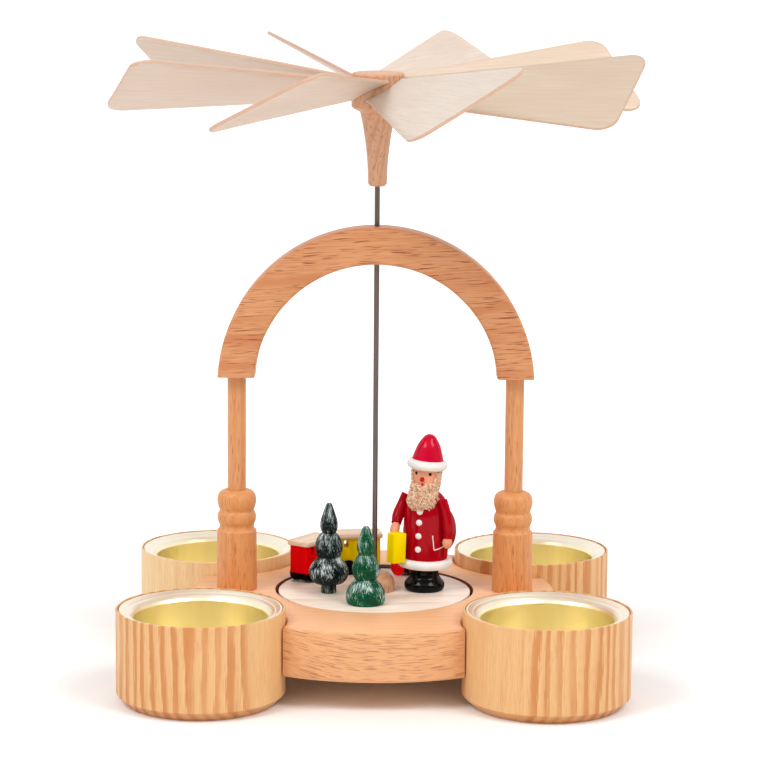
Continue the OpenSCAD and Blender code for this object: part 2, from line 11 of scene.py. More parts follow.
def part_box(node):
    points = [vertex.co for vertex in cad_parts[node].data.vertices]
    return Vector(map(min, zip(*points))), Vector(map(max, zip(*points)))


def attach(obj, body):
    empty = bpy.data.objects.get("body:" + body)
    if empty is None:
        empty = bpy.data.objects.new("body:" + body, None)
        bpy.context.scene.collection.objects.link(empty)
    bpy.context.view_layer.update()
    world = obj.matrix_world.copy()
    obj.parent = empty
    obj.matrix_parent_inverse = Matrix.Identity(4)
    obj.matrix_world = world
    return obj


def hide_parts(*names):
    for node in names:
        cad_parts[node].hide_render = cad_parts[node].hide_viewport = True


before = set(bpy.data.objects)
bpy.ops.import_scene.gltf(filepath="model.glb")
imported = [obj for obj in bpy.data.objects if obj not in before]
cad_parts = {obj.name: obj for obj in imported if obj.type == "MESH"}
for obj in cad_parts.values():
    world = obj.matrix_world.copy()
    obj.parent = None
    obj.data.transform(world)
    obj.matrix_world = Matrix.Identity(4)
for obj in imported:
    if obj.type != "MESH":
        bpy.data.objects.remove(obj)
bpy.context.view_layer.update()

bl_info = {
    "name": "Candle pyramid",
    "version": (1, 0, 0),
    "blender": (4, 5, 0),
    "location": "View3D > Sidebar > Pyramid",
    "description": "Builds a wooden candle pyramid round its packed frame",
    "category": "Object",
}

MM = 0.001
CUPS = ("fl", "fr", "rl", "rr")
SIDES = ("l", "r")
BLADES = 8
UPRIGHT = (0.0, math.radians(-90), 0.0)      # turn of a grain that runs up the piece
LYING = (0.0, 0.0, 0.0)                      # turn of a grain that runs along X
ROOF_OVERHANG = 0.7 * MM                     # what a roof stands out past its body
CHASSIS_STEP = 0.2 * MM                      # step between a chassis and its body
AXLE = 3.4 * MM                              # distance of an axle from a vehicle's middle
WHEEL_GAP = 0.5 * MM                         # what a wheel's middle stands out past a vehicle's side
TIGHT = 0.05 * MM                            # play of a tight hole
EDGE_ROWS = 4                                # rows in a rounded edge
CORNER_POINTS = 5                            # points round the corner of an oblong
WOOD_ROUGH = (0.38, 0.56)                    # roughness of bare wood between its fibres and on them
PLATE_COLUMNS = 900                          # points round the base plate's rim
ARCH_ROWS = 90                               # sections along the arch between its rounded ends
FACE_POINTS, EDGE_POINTS = 11, 5             # points across a blade's face and round its edge
RIM_DROP = 0.18 * MM                         # what an insert's rolled rim stands lower than the CAD flange
FLANGE_FOOT = 2.7 * MM                       # height of an insert's flange, from its wall to its rim
BEARD_REACH = 2.1                            # how far round the head the beard goes, in radians
BEARD_WIDEST = 5.4                           # radius in millimetres at which no curl is left out
FLOOR_BEND = 0.8                             # radius in metres of the sweep from floor to backdrop
BOX_SIZE = (0.5, 0.56)                       # width and height of a soft box in metres
BOX_SPOT = (0.74, -0.62, 1.05)               # place of the right soft box in metres
BOX_AIM = (0, 0, 0.07)                       # what the soft boxes face


# Colours and sizes

def srgb(red, green, blue):
    """Linear colour of a screen colour given in steps of 255."""
    share = np.array([red, green, blue]) / 255
    return np.where(share <= 0.04045, share / 12.92, ((share + 0.055) / 1.055) ** 2.4).tolist()


def tone(name, description, *steps):
    """Colour property with a screen colour as its default."""
    return bpy.props.FloatVectorProperty(name=name, description=description, subtype="COLOR", size=3,
                                         min=0, max=1, default=srgb(*steps))


def length(name, description, millimetres):
    """Length property with a default in millimetres."""
    return bpy.props.FloatProperty(name=name, description=description, unit="LENGTH",
                                   default=millimetres * MM)


def angle(name, description, degrees):
    """Angle property with a default in degrees."""
    return bpy.props.FloatProperty(name=name, description=description, subtype="ANGLE",
                                   default=math.radians(degrees))


def angles(name, description, *degrees):
    """Row of angles as one property, with defaults in degrees."""
    return bpy.props.FloatVectorProperty(name=name, description=description, size=len(degrees),
                                         unit="ROTATION", default=np.radians(degrees).tolist())


def number(name, description, value):
    """Plain number property."""
    return bpy.props.FloatProperty(name=name, description=description, default=value)


def tinted(colour, tint):
    """Colour with each channel scaled."""
    return tuple(channel * share for channel, share in zip(colour, tint))


class WoodTones(bpy.types.PropertyGroup):
    """Colours of the bare woods"""
    beech: tone("Beech", "Ground of the steamed beech", 236, 176, 124)
    beech_dark: tone("Beech rings", "Late wood of the beech", 222, 155, 102)
    beech_fleck: tone("Beech flecks", "Short rays in the beech", 166, 94, 54)
    ash: tone("Ash", "Ground of the ash", 237, 190, 132)
    ash_dark: tone("Ash rings", "Porous early wood of the ash", 206, 130, 66)
    ash_pore: tone("Ash pores", "Open pores in the ash", 184, 108, 56)
    linden: tone("Linden", "Ground of the pale disc and roofs", 255, 245, 232)
    linden_dark: tone("Linden grain", "Faint lines in the pale disc", 238, 212, 190)
    veneer: tone("Veneer", "Ground of the blades", 230, 213, 198)
    veneer_dark: tone("Veneer grain", "Faint lines in the blades", 216, 192, 174)
    veneer_edge: tone("Veneer edge", "Sawn edge of the blades", 214, 168, 140)


class LacquerTones(bpy.types.PropertyGroup):
    """Colours of the paints, the shavings and the metals"""
    red: tone("Red", "Coat, sleeves and sack", 180, 0, 22)
    # Painted light: the hat's red is the coat's red made brighter for the stronger light on the hat.
    lit_hat_red: tone("Hat red", "Hat", 210, 0, 48)
    nose_red: tone("Nose red", "Nose and mouth", 206, 16, 40)
    signal_red: tone("Signal red", "Red wagon and wheels", 248, 0, 8)
    white: tone("White", "Fur, buttons and pocket", 242, 241, 237)
    black: tone("Black", "Boots, wheels and chassis", 6, 4, 4)
    flesh: tone("Flesh", "Face and hands", 240, 166, 130)
    yellow: tone("Yellow", "Parcel", 255, 224, 0)
    ochre: tone("Ochre", "Yellow wagon", 255, 224, 0)
    green: tone("Green", "Green tree", 0, 92, 57)
    dark_green: tone("Dark green", "Dark tree", 14, 34, 34)
    snow: tone("Snow", "Brushed streaks on the trees", 214, 230, 230)
    shaving: tone("Shavings", "Curls of the beard", 255, 232, 200)
    tin: tone("Tin", "Pale gold inside the inserts", 255, 243, 196)
    tin_rim: tone("Tin rim", "Paler flange of the inserts", 240, 231, 214)
    steel: tone("Steel", "Spindle", 112, 100, 94)
    brass: tone("Brass", "Bearing", 214, 176, 96)


class StandShape(bpy.types.PropertyGroup):
    """Sizes of the stand's edges and of what the frame's boxes don't tell"""
    edge: length("Edge", "Rounding of sawn edges", 0.5)
    arch_edge: length("Arch edge", "Rounding of the arch's edges", 1.0)
    plate_edge: length("Plate edge", "Rounding of the base plate's rim", 0.9)
    cup_chamfer: length("Cup chamfer", "Chamfer round a cup's foot", 3)
    rebate: length("Rebate", "Depth of the flange's rebate in a cup", 0.9)
    flange: length("Flange", "Width of an insert's flange", 3.8)
    funnel: length("Funnel", "Height of the flange's slope under its hem", 1.9)
    hem: length("Hem", "Level outer ring of the flange", 0.9)
    tin: length("Tin", "Thickness of the tin", 0.5)
    play: length("Play", "Play between cup, insert and plate", 0.25)
    pocket_play: length("Pocket play", "Gap round the turntable", 0.8)
    turntable_trim: length("Turntable trim", "What the turning takes off the turntable's rim", 0.2)
    pocket_under: length("Pocket depth", "Space under the turntable", 1.2)


class PropellerShape(bpy.types.PropertyGroup):
    """Sizes of the propeller's blades"""
    start: angle("Start", "Direction of the first blade", 18)
    pitch: angle("Pitch", "Tilt of a blade", 28)
    rise: angle("Rise", "How far a blade rises towards its tip", 2)
    lean: angle("Lean", "How far the propeller leans towards the front", 3)
    grip: length("Grip", "Middle of the hub's grip below the spindle's top", 7.5)
    lift: length("Lift", "Middle of the blades above the spindle's top", 14.1)
    root: length("Root", "Where a blade ends in its slot", 4.6)
    head: length("Head", "Radius of the hub's head, where a blade starts to widen", 8)
    tip: length("Tip", "Radius of the blade tips", 80)
    root_width: length("Root width", "Width of a blade at the hub", 13.5)
    tip_width: length("Tip width", "Width of a blade at its tip", 40.5)
    corner: length("Corner", "Rounding of a tip's corners", 5)
    thick: length("Thickness", "Thickness of the veneer", 1)
    warp: angle("Warp", "Most that a tip is twisted", 0.8)
    turns: angles("Turns", "How far each blade is off its even direction",
                  0.4, -1.1, -2.6, -2.9, 0.8, 2.9, 0.5, 3.2)
    tilts: angles("Tilts", "How far each blade is off the pitch", 0, 2.7, 1.9, 7, -0.8, -1.6, 1.6, 0)


class FigureShape(bpy.types.PropertyGroup):
    """Pose and trim of the figure"""
    turn: angle("Turn", "How far the figure is turned about the upright", -20)
    lean: angle("Lean", "How far the figure leans above its boots", 1.6)
    cheek: length("Cheek radius", "Radius of the head at the cheeks", 4.42)
    head_aside: length("Head aside", "How far the head sits to one side on the coat", 0.34)
    hat_aside: length("Hat aside", "How far hat and brim sit to one side", 0.45)
    tilt: angle("Hat tilt", "How far hat and brim tip to the figure's left", 3.5)
    shaft: length("Shaft", "Radius of the boots under the hem", 4.4)
    coat: length("Coat", "Height of the coat's lower edge above the turntable", 10.1)
    neck: length("Neck", "Height of the neck", 30.6)
    brim: length("Brim", "Height of the brim's lower edge", 38)
    hat: length("Hat", "Height of the hat's lower edge", 41)
    top: length("Top", "Height of the hat's top", 48.9)
    eye: length("Eye", "Radius of an eye", 0.5)
    button: length("Button", "Radius of a button", 1.0)
    curl: length("Curl", "Mean radius of a shaving's curl", 0.42)
    curls: bpy.props.IntProperty(name="Curls", description="Number of shavings in the beard", default=900)


class TrainShape(bpy.types.PropertyGroup):
    """Headings and sizes of the train"""
    red_heading: angle("Red heading", "Heading of the red wagon", 56)
    yellow_heading: angle("Yellow heading", "Heading of the yellow wagon", 8)
    loco_heading: angle("Locomotive heading", "Heading of the locomotive", -30)
    wagon: length("Wagon", "Length of a wagon's body", 13.6)
    width: length("Width", "Width of a body", 6.8)
    window_width: length("Window width", "Width of a window", 1.4)
    window_height: length("Window height", "Height of a window", 2.4)
    window_drop: length("Window drop", "Wall above a window", 0.6)
    window_place: length("Window place", "Distance of a window from the middle", 4.1)
    loco: length("Locomotive", "Length of the locomotive", 12.6)
    cab: length("Cab", "Length of the cab", 5)
    edge: length("Edge", "Rounding of the small pieces' edges", 0.22)


class StageSetup(bpy.types.PropertyGroup):
    """Camera and light"""
    distance: length("Distance", "Camera before the spindle", 787.664)
    height: length("Height", "Camera above the table", 211.782)
    pitch: angle("Pitch", "How far the camera looks down", 8.865)
    roll: angle("Roll", "How far the camera is rolled", 0.442)
    lens: number("Lens", "Focal length in millimetres", 121.77)
    shift: bpy.props.FloatVectorProperty(name="Shift", description="Camera shift", size=2,
                                         default=(0.01056, -0.00146))
    sky: number("Sky", "Strength of the white surroundings", 0.63)
    box_power: number("Soft box", "Power of a soft box in watts", 6.6)
    lift: number("Floor lift", "Light of its own that the far floor shows", 0.46)
    floor: tone("Floor", "Pale floor and backdrop", 252, 252, 252)


GROUPS = {
    "pyramid_woods": WoodTones,
    "pyramid_lacquers": LacquerTones,
    "pyramid_stand": StandShape,
    "pyramid_propeller": PropellerShape,
    "pyramid_figure": FigureShape,
    "pyramid_train": TrainShape,
    "pyramid_stage": StageSetup,
}


# Places in the frame

def middle(name):
    """Middle of a frame node's box and half its sizes."""
    low, high = (np.array(corner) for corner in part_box(name))
    return (low + high) / 2, (high - low) / 2


def heights(name):
    """Lowest and highest z of a frame node."""
    low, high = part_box(name)
    return low.z, high.z


# Outlines

def eased(corners, steps=4):
    """Outline through (x, y, radius) corners, each inner one an arc that touches both its sides."""
    points = [corners[0][:2]]
    for before, at, after in zip(corners, corners[1:], corners[2:]):
        corner = np.array(at[:2])
        back, ahead = np.array(before[:2]) - corner, np.array(after[:2]) - corner
        sizes = np.linalg.norm(back), np.linalg.norm(ahead)
        back, ahead = back / sizes[0], ahead / sizes[1]
        inside = math.acos(np.clip(back @ ahead, -1, 1))
        if at[2] <= 0 or inside > math.pi - 0.01:
            points.append(tuple(corner))
            continue
        reach = min(at[2] / math.tan(inside / 2), 0.49 * min(sizes))
        radius = reach * math.tan(inside / 2)
        hub = corner + (back + ahead) / np.linalg.norm(back + ahead) * radius / math.sin(inside / 2)
        sweep = math.pi - inside
        share = np.linspace(0, 1, steps + 1)[:, None]
        arc = (np.sin((1 - share) * sweep) * (corner + back * reach - hub)
               + np.sin(share * sweep) * (corner + ahead * reach - hub)) / math.sin(sweep) + hub
        points.extend(map(tuple, arc))
    return np.array(points + [corners[-1][:2]])


def through(points, steps=6):
    """Smooth curve through points: a cubic between each pair, with slopes from the neighbours."""
    p = np.asarray(points, float)
    p = np.vstack([2 * p[0] - p[1], p, 2 * p[-1] - p[-2]])
    t = np.linspace(0, 1, steps, endpoint=False)[None, :, None]
    a, b, c, d = (p[i:len(p) - 3 + i, None, :] for i in range(4))
    curve = 0.5 * (2 * b + (c - a) * t + (2 * a - 5 * b + 4 * c - d) * t ** 2
                   + (3 * b - a - 3 * c + d) * t ** 3)
    return np.vstack([curve.reshape(-1, p.shape[1]), p[-2]])


def rounded_box(half_x, half_y, corner):
    """Rectangle with round corners as a closed outline: four quarter circles one after the other."""
    quarter = np.linspace(0, np.pi / 2, CORNER_POINTS)
    turn = (quarter[None] + np.arange(4)[:, None] * np.pi / 2).ravel()
    sign_x = np.repeat([1, -1, -1, 1], CORNER_POINTS)
    sign_y = np.repeat([1, 1, -1, -1], CORNER_POINTS)
    return np.stack([sign_x * (half_x - corner) + corner * np.cos(turn),
                     sign_y * (half_y - corner) + corner * np.sin(turn)], 1)


# Surfaces

def placed(points, matrix):
    """Points carried by a matrix."""
    matrix = np.array(matrix)
    return points @ matrix[:3, :3].T + matrix[:3, 3]


def object_of(name, mesh):
    """Object for a mesh in the scene."""
    made = bpy.data.objects.new(name, mesh)
    bpy.context.scene.collection.objects.link(made)
    return made


def skin(name, grids, closed=(False, True), ends=(None, None), uv=None, matrix=None, sharp=40):
    """Mesh object over one grid of points, or a stack of like grids: rows by columns by xyz.

    Neighbouring points make a quad, closed joins the last row or column to the first, and an end row is left
    open (None), filled flat ("flat") or drawn to a point (three numbers). uv has one entry more than the
    grid in each closed direction. The matrix places the points, and edges past the sharp angle stay crisp.
    """
    grids = np.asarray(grids, float)
    grids = grids[None] if grids.ndim == 3 else grids
    count, rows, cols = grids.shape[:3]
    steps = np.arange(rows - (not closed[0])), np.arange(cols - (not closed[1]))
    row, col = np.meshgrid(*steps, indexing="ij")
    corners = [((row + i).ravel(), (col + j).ravel()) for i, j in ((0, 0), (0, 1), (1, 1), (1, 0))]
    quad = np.stack([r % rows * cols + c % cols for r, c in corners], 1)
    start = np.arange(count)[:, None, None] * rows * cols
    faces = (quad[None] + start).reshape(-1, 4).tolist()
    points = grids.reshape(-1, 3)
    loops = []
    if uv is not None:
        loops.append(np.tile(np.stack([uv[r, c] for r, c in corners], 1).reshape(-1, 2), (count, 1)))
    for end, edge in zip(ends, (0, rows - 1)):
        if end is None:
            continue
        ring = edge * cols + np.arange(cols)
        if isinstance(end, str):
            faces += (ring[None] + start[:, 0]).tolist()
            if uv is not None:
                loops.append(np.tile(uv[edge, :cols], (count, 1)))
            continue
        pole = len(points)
        points = np.vstack([points, end])
        faces += np.stack([ring, np.roll(ring, -1), np.full(cols, pole)], 1).tolist()
        if uv is not None:
            around = uv[edge, :cols], uv[edge, 1:cols + 1]
            loops.append(np.stack([*around, (around[0] + around[1]) / 2], 1).reshape(-1, 2))
    if matrix is not None:
        points = placed(points, matrix)
    mesh = bpy.data.meshes.new(name)
    mesh.from_pydata(points.tolist(), [], faces)
    if uv is not None:
        mesh.uv_layers.new(name="uv").data.foreach_set("uv", np.vstack(loops).astype(np.float32).ravel())
    soften(mesh, sharp)
    return object_of(name, mesh)


def soften(mesh, sharp):
    """Faces turned outwards and shaded smooth, with crisp edges past the sharp angle in degrees."""
    form = bmesh.new()
    form.from_mesh(mesh)
    bmesh.ops.recalc_face_normals(form, faces=form.faces)
    form.to_mesh(mesh)
    form.free()
    mesh.polygons.foreach_set("use_smooth", np.ones(len(mesh.polygons), bool))
    mesh.set_sharp_from_angle(angle=math.radians(sharp))
    mesh.update()


def turned(name, profile, axis=(0, 0, 0), columns=128, loop=False, matrix=None, sharp=40):
    """Surface of revolution: each (radius, height) of the profile is swung round an upright axis.

    P(u, v) = axis + (r(v) cos u, r(v) sin u, z(v)). A profile that starts or ends on the axis closes to a
    point, and a looped profile closes on itself. The uv map is the way round at the widest radius and the
    way along the profile, in metres.
    """
    profile = np.asarray(profile, float)
    axis = np.asarray(axis, float)
    way = np.concatenate([[0], np.cumsum(np.linalg.norm(np.diff(profile, axis=0), axis=1))])
    on_axis = profile[:, 0] < 1e-9
    ends = [axis + (0, 0, profile[i, 1]) if on_axis[i] and not loop else None for i in (0, -1)]
    radius, height = profile[~on_axis].T
    way = way[~on_axis]
    way = np.append(way, way[-1]) if loop else way
    u = np.linspace(0, 2 * np.pi, columns + 1)
    grid = np.stack([radius[:, None] * np.cos(u[:-1]), radius[:, None] * np.sin(u[:-1]),
                     height[:, None] + 0 * u[:-1]], -1) + axis
    uv = np.stack(np.broadcast_arrays(u[None] * radius.max(), way[:, None]), -1)
    return skin(name, grid, (loop, True), ends, uv, matrix, sharp)


def slab(name, half, corner, profile, matrix):
    """Oblong form with shaped edges: each row is a rounded rectangle, drawn in by the profile's inset.

    P(u, v) = (rectangle(u, inset(v)), z(v)), with flat faces below and above.
    """
    rows = [rounded_box(half[0] - inset, half[1] - inset, corner) for inset, _ in profile]
    grid = np.stack([np.column_stack([row, np.full(len(row), z)]) for row, (_, z) in zip(rows, profile)])
    return skin(name, grid, ends=("flat", "flat"), matrix=matrix)


def edge_rows(low, high, edge):
    """Inset and height of a slab's rows: a quarter circle at each edge."""
    bow = np.linspace(0, np.pi / 2, EDGE_ROWS)
    inset = edge * (1 - np.sin(bow))
    rise = edge * (1 - np.cos(bow))
    return np.column_stack([np.append(inset, inset[::-1]), np.append(low + rise, high - rise[::-1])])


def carried(path, radius, sides, up):
    """Grid of a round profile carried along a path: a circle of the row's radius square to the path.

    The circle's first axis is the part of up that is square to the path, and its second is square to both.
    Path is points by xyz, or a stack of such paths.
    """
    path = np.asarray(path, float)
    ahead = np.gradient(path, axis=-2)
    ahead /= np.linalg.norm(ahead, axis=-1, keepdims=True)
    first = np.asarray(up, float) - (ahead * up).sum(-1, keepdims=True) * ahead
    first /= np.linalg.norm(first, axis=-1, keepdims=True)
    second = np.cross(ahead, first)
    turn = np.linspace(0, 2 * np.pi, sides, endpoint=False)[:, None]
    radius = np.broadcast_to(radius, path.shape[:-1])[..., None, None]
    ring = np.cos(turn) * first[..., None, :] + np.sin(turn) * second[..., None, :]
    return path[..., None, :] + radius * ring


def pierced(name, half, windows, matrix, edge):
    """Block with windows right through it from front to back.

    A grid in X and Z has a line at each side of a window. Its cells make a front and a back sheet, the cells
    of the windows are left out, and walls join the sheets along each edge that only one cell has.
    """
    xs = np.unique(np.concatenate([[-half[0], half[0]], *[(w[0], w[1]) for w in windows]]))
    zs = np.unique(np.concatenate([[-half[2], half[2]], *[(w[2], w[3]) for w in windows]]))
    mid_x, mid_z = (xs[1:] + xs[:-1]) / 2, (zs[1:] + zs[:-1]) / 2
    keep = np.ones((len(mid_x), len(mid_z)), bool)
    for x0, x1, z0, z1 in windows:
        keep &= ~np.outer((mid_x > x0) & (mid_x < x1), (mid_z > z0) & (mid_z < z1))
    nz = len(zs)
    i, k = np.nonzero(keep)
    cell = np.stack([i * nz + k, (i + 1) * nz + k, (i + 1) * nz + k + 1, i * nz + k + 1], 1)
    edges = np.stack([cell, np.roll(cell, -1, 1)], -1).reshape(-1, 2)
    _, where, uses = np.unique(np.sort(edges, 1), axis=0, return_index=True, return_counts=True)
    rim = edges[where[uses == 1]]
    sheet = len(xs) * nz
    walls = np.stack([rim[:, 0], rim[:, 1], rim[:, 1] + sheet, rim[:, 0] + sheet], 1)
    flat = np.stack(np.meshgrid(xs, zs, indexing="ij"), -1).reshape(-1, 2)
    sheets = [np.column_stack([flat[:, 0], np.full(sheet, y), flat[:, 1]]) for y in (-half[1], half[1])]
    points = placed(np.vstack(sheets), matrix)
    mesh = bpy.data.meshes.new(name)
    mesh.from_pydata(points.tolist(), [], np.vstack([cell, cell + sheet, walls]).tolist())
    form = bmesh.new()
    form.from_mesh(mesh)
    bmesh.ops.delete(form, geom=[v for v in form.verts if not v.link_faces], context="VERTS")
    form.to_mesh(mesh)
    form.free()
    soften(mesh, 30)
    made = object_of(name, mesh)
    bevel(made, edge)
    return made


def bevel(made, width):
    """Rounded edges on a block."""
    modifier = made.modifiers.new("Edges", "BEVEL")
    modifier.width = width
    modifier.segments = 2
    modifier.limit_method = "ANGLE"
    modifier.harden_normals = True


def settle(made, body, finish, slot, *nodes):
    """Gives a piece its finish, seats it on its body and lets it stand for frame nodes. The slot is not used.
    """
    made.data.materials.append(finish)
    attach(made, body)
    if nodes:
        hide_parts(*nodes)
    return made


def refinish(node, finish):
    """Better material in every slot of a frame node that stays."""
    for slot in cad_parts[node].material_slots:
        slot.material = finish


# Finishes

def blank(name, coordinates="Object"):
    """New material with its node tree, its shader and the coordinates that its pattern follows."""
    made = bpy.data.materials.new(name)
    made.use_nodes = True
    tree = made.node_tree
    return made, tree, tree.nodes["Principled BSDF"], add(tree, "TexCoord", {})[coordinates]


def add(tree, kind, values, **settings):
    """Outputs of a new shader node: settings are its own fields, values fill or link its sockets."""
    made = tree.nodes.new("ShaderNode" + kind)
    for key, value in settings.items():
        setattr(made, key, value)
    for key, value in values.items():
        if isinstance(value, bpy.types.NodeSocket):
            tree.links.new(value, made.inputs[key])
        else:
            made.inputs[key].default_value = value
    return made.outputs


def ramp(tree, factor, *stops):
    """Colour ramp through (place, grey or colour) stops."""
    made = tree.nodes.new("ShaderNodeValToRGB")
    elements = made.color_ramp.elements
    elements[0].position, elements[1].position = stops[0][0], stops[-1][0]
    for place, _ in stops[1:-1]:
        elements.new(place)
    for element, (_, shade) in zip(elements, stops):
        element.color = (*np.broadcast_to(shade, 3), 1)
    tree.links.new(factor, made.inputs[0])
    return made.outputs[0]


def scaled(tree, vector, x, y, z):
    """Coordinates stretched along each axis."""
    return add(tree, "VectorMath", {0: vector, 1: (x, y, z)}, operation="MULTIPLY")[0]


def noise(tree, vector, scale=1.0, detail=2.0, rough=0.5):
    """Grey noise."""
    values = {"Vector": vector, "Scale": scale, "Detail": detail, "Roughness": rough}
    return add(tree, "TexNoise", values)["Fac"]


def product(tree, first, second):
    """Two values multiplied."""
    return add(tree, "Math", {0: first, 1: second}, operation="MULTIPLY")[0]


def sum_of(tree, value, share, more):
    """A share of a value, added to another."""
    return add(tree, "Math", {0: value, 1: share, 2: more}, operation="MULTIPLY_ADD")[0]


def blend(tree, factor, first, second, mode="MIX"):
    """Colour between two colours or outputs."""
    first, second = (x if isinstance(x, bpy.types.NodeSocket) else (*x, 1) for x in (first, second))
    return add(tree, "Mix", {0: factor, 6: first, 7: second}, data_type="RGBA", blend_type=mode)[2]


def spread(tree, value, low, high, start=0.0, end=1.0):
    """Value spread between two bounds as it goes from its start to its end."""
    bounds = {"From Min": start, "From Max": end, "To Min": low, "To Max": high}
    return add(tree, "MapRange", {"Value": value, **bounds})[0]


def z_of(tree, vector):
    """Upright part of a vector."""
    return add(tree, "SeparateXYZ", {0: vector})["Z"]


def surface_of(tree, shader, colour, rough, relief=None, depth=0.0, strength=0.5):
    """Gives the shader its colour and its roughness, and a bump where there is a relief."""
    tree.links.new(colour, shader.inputs["Base Color"])
    tree.links.new(rough, shader.inputs["Roughness"])
    if relief is not None:
        bump = add(tree, "Bump", {"Height": relief, "Distance": depth, "Strength": strength})[0]
        tree.links.new(bump, shader.inputs["Normal"])


def gloss(shader, weight, rough):
    """Clear coat in place of the paint's own shine."""
    shader.inputs["Specular IOR Level"].default_value = 0.0
    shader.inputs["Coat Weight"].default_value = weight
    shader.inputs["Coat Roughness"].default_value = rough


def wood(name, tones, centre=(0, 0, 0), turn=LYING, pith=(0.0, 0.06), ring=3.2, ragged=0.5, early=0.4,
         wander=1.5, rings=1.0, faded=0.3, calm=1.0, streak=0.5, flecks=0.5, fleck_size=(3.2, 0.38, 0.38),
         fleck_at=0.62, foot=0.0, level=None):
    """Bare wood in the round: yearly rings round a pith, fibres along the grain and short flecks.

    The grain runs along X of a frame at the centre, turned as given. Rings are a saw-tooth of the distance
    from the pith, in metres off the grain's axis, with ragged early wood that fades in places. Ring, wander
    and a fleck's sizes are in millimetres. Rings are faint past the calm distance from the pith, and flecks
    on level faces are fainter. Below the foot's height the wood is darker: painted shade near the floor, on
    top of the darker end grain there. Level is a painted highlight: the tint that lightens the faces which
    look up, standing in for light from above. Each noise has its own number of waves per metre along and
    across the grain.
    """
    light, dark, fleck = tones
    made, tree, shader, place = blank(name)
    seat = {"Vector": place, "Location": centre, "Rotation": turn}
    local = add(tree, "Mapping", seat, vector_type="TEXTURE")[0]
    slow = {"Vector": scaled(tree, local, 14, 45, 45), "Scale": 1.0, "Detail": 1.0}
    sway = add(tree, "TexNoise", slow)["Color"]
    bent = add(tree, "VectorMath", {0: sway, 1: (wander * MM,) * 3, 2: local}, operation="MULTIPLY_ADD")[0]
    fibre = noise(tree, scaled(tree, bent, 70, 2600, 2600), detail=3, rough=0.65)
    patch = noise(tree, scaled(tree, bent, 20, 110, 110), detail=1)
    off_pith = add(tree, "VectorMath", {0: bent, 1: (0, *pith)}, operation="SUBTRACT")[0]
    away = add(tree, "VectorMath", {0: scaled(tree, off_pith, 0.03, 1, 1)}, operation="LENGTH")[1]
    count = sum_of(tree, away, 1 / (ring * MM), spread(tree, patch, 0, 1.4))
    saw = add(tree, "Math", {0: sum_of(tree, fibre, ragged, count)}, operation="FRACT")[0]
    band = ramp(tree, saw, (0, 0.9), (early * 0.7, 0.85), (early, 0.15), (0.93, 0.0), (1, 0.9))
    fade = noise(tree, scaled(tree, bent, 16, 60, 60), 1.7)
    shown = product(tree, band, ramp(tree, fade, (0.38, faded * rings), (0.52, rings)))
    near = spread(tree, away, 1.0, 0.12, calm, calm + 3 * MM)
    ground = blend(tree, product(tree, shown, near), light, dark)
    streaky = blend(tree, ramp(tree, fibre, (0.4, 0), (0.7, streak)), ground, dark)
    dash = noise(tree, scaled(tree, bent, *(1 / (size * MM) for size in fleck_size)), detail=0.5)
    rise = z_of(tree, add(tree, "NewGeometry", {})["Normal"])
    flat = product(tree, rise, rise)
    spots = ramp(tree, dash, (fleck_at, 0), (fleck_at + 0.08, flecks))
    mark = product(tree, spots, spread(tree, flat, 1.0, 0.12))
    colour = blend(tree, mark, streaky, fleck)
    # Painted highlight: faces that look up are lightened by the level tint, standing in for light from above.
    if level:
        colour = blend(tree, 1.0, colour, ramp(tree, flat, (0.5, 1), (0.95, level)), "MULTIPLY")
    # Painted shade: the wood darkens below the foot's height, near the floor, together with the end grain
    # there.
    if foot:
        share = spread(tree, z_of(tree, place), 0, 1, 0, foot)
        colour = blend(tree, 1.0, colour, ramp(tree, share, (0.85, (0.84, 0.72, 0.64)), (1, 1)), "MULTIPLY")
    rough = spread(tree, fibre, *WOOD_ROUGH)
    surface_of(tree, shader, colour, rough, sum_of(tree, mark, -0.8, fibre), 0.05 * MM)
    return made


def beech(name, tint=(1, 1, 1), deep=(1, 1, 1), **settings):
    """Steamed beech with dark flecks, each piece a little different in tint and in its grain's depth."""
    tones = bpy.context.scene.pyramid_woods
    grain = tinted(tint, deep)
    shades = tinted(tones.beech, tint), tinted(tones.beech_dark, grain), tinted(tones.beech_fleck, grain)
    return wood(name, shades, **settings)


def ash(name, tint=(1, 1, 1), **settings):
    """Ash with broad stripes of early wood."""
    tones = bpy.context.scene.pyramid_woods
    shades = (tones.ash, tones.ash_dark, tones.ash_pore)
    return wood(name, [tinted(shade, tint) for shade in shades], **settings)


def linden(name, tint=(1, 1, 1), **settings):
    """Pale wood with hardly any figure."""
    tones = bpy.context.scene.pyramid_woods
    pale, dark = tinted(tones.linden, tint), tinted(tones.linden_dark, tint)
    return wood(name, (pale, dark, dark), flecks=0.3, fleck_size=(6, 0.3, 0.3),
                early=0.3, ring=2.2, **settings)


def veneer(name, tint):
    """Veneer of a blade on its uv map: fine fibres along the blade and a few short dark lines."""
    tones = bpy.context.scene.pyramid_woods
    pale, dark = tinted(tones.veneer, tint), tinted(tones.veneer_dark, tint)
    made, tree, shader, place = blank(name, "UV")
    fibre = noise(tree, scaled(tree, place, 60, 1700, 0), detail=3, rough=0.6)
    patch = noise(tree, scaled(tree, place, 25, 60, 0), detail=2)
    ground = blend(tree, ramp(tree, fibre, (0.35, 0), (0.72, 0.8)), pale, dark)
    cloudy = blend(tree, ramp(tree, patch, (0.4, 0), (0.75, 0.5)), ground, dark)
    dash = noise(tree, scaled(tree, place, 260, 3400, 0), detail=0.5)
    lined = blend(tree, ramp(tree, dash, (0.66, 0), (0.74, 0.3)), cloudy, tones.veneer_edge)
    surface_of(tree, shader, lined, spread(tree, fibre, 0.5, 0.65), fibre, 0.03 * MM, 0.4)
    return made


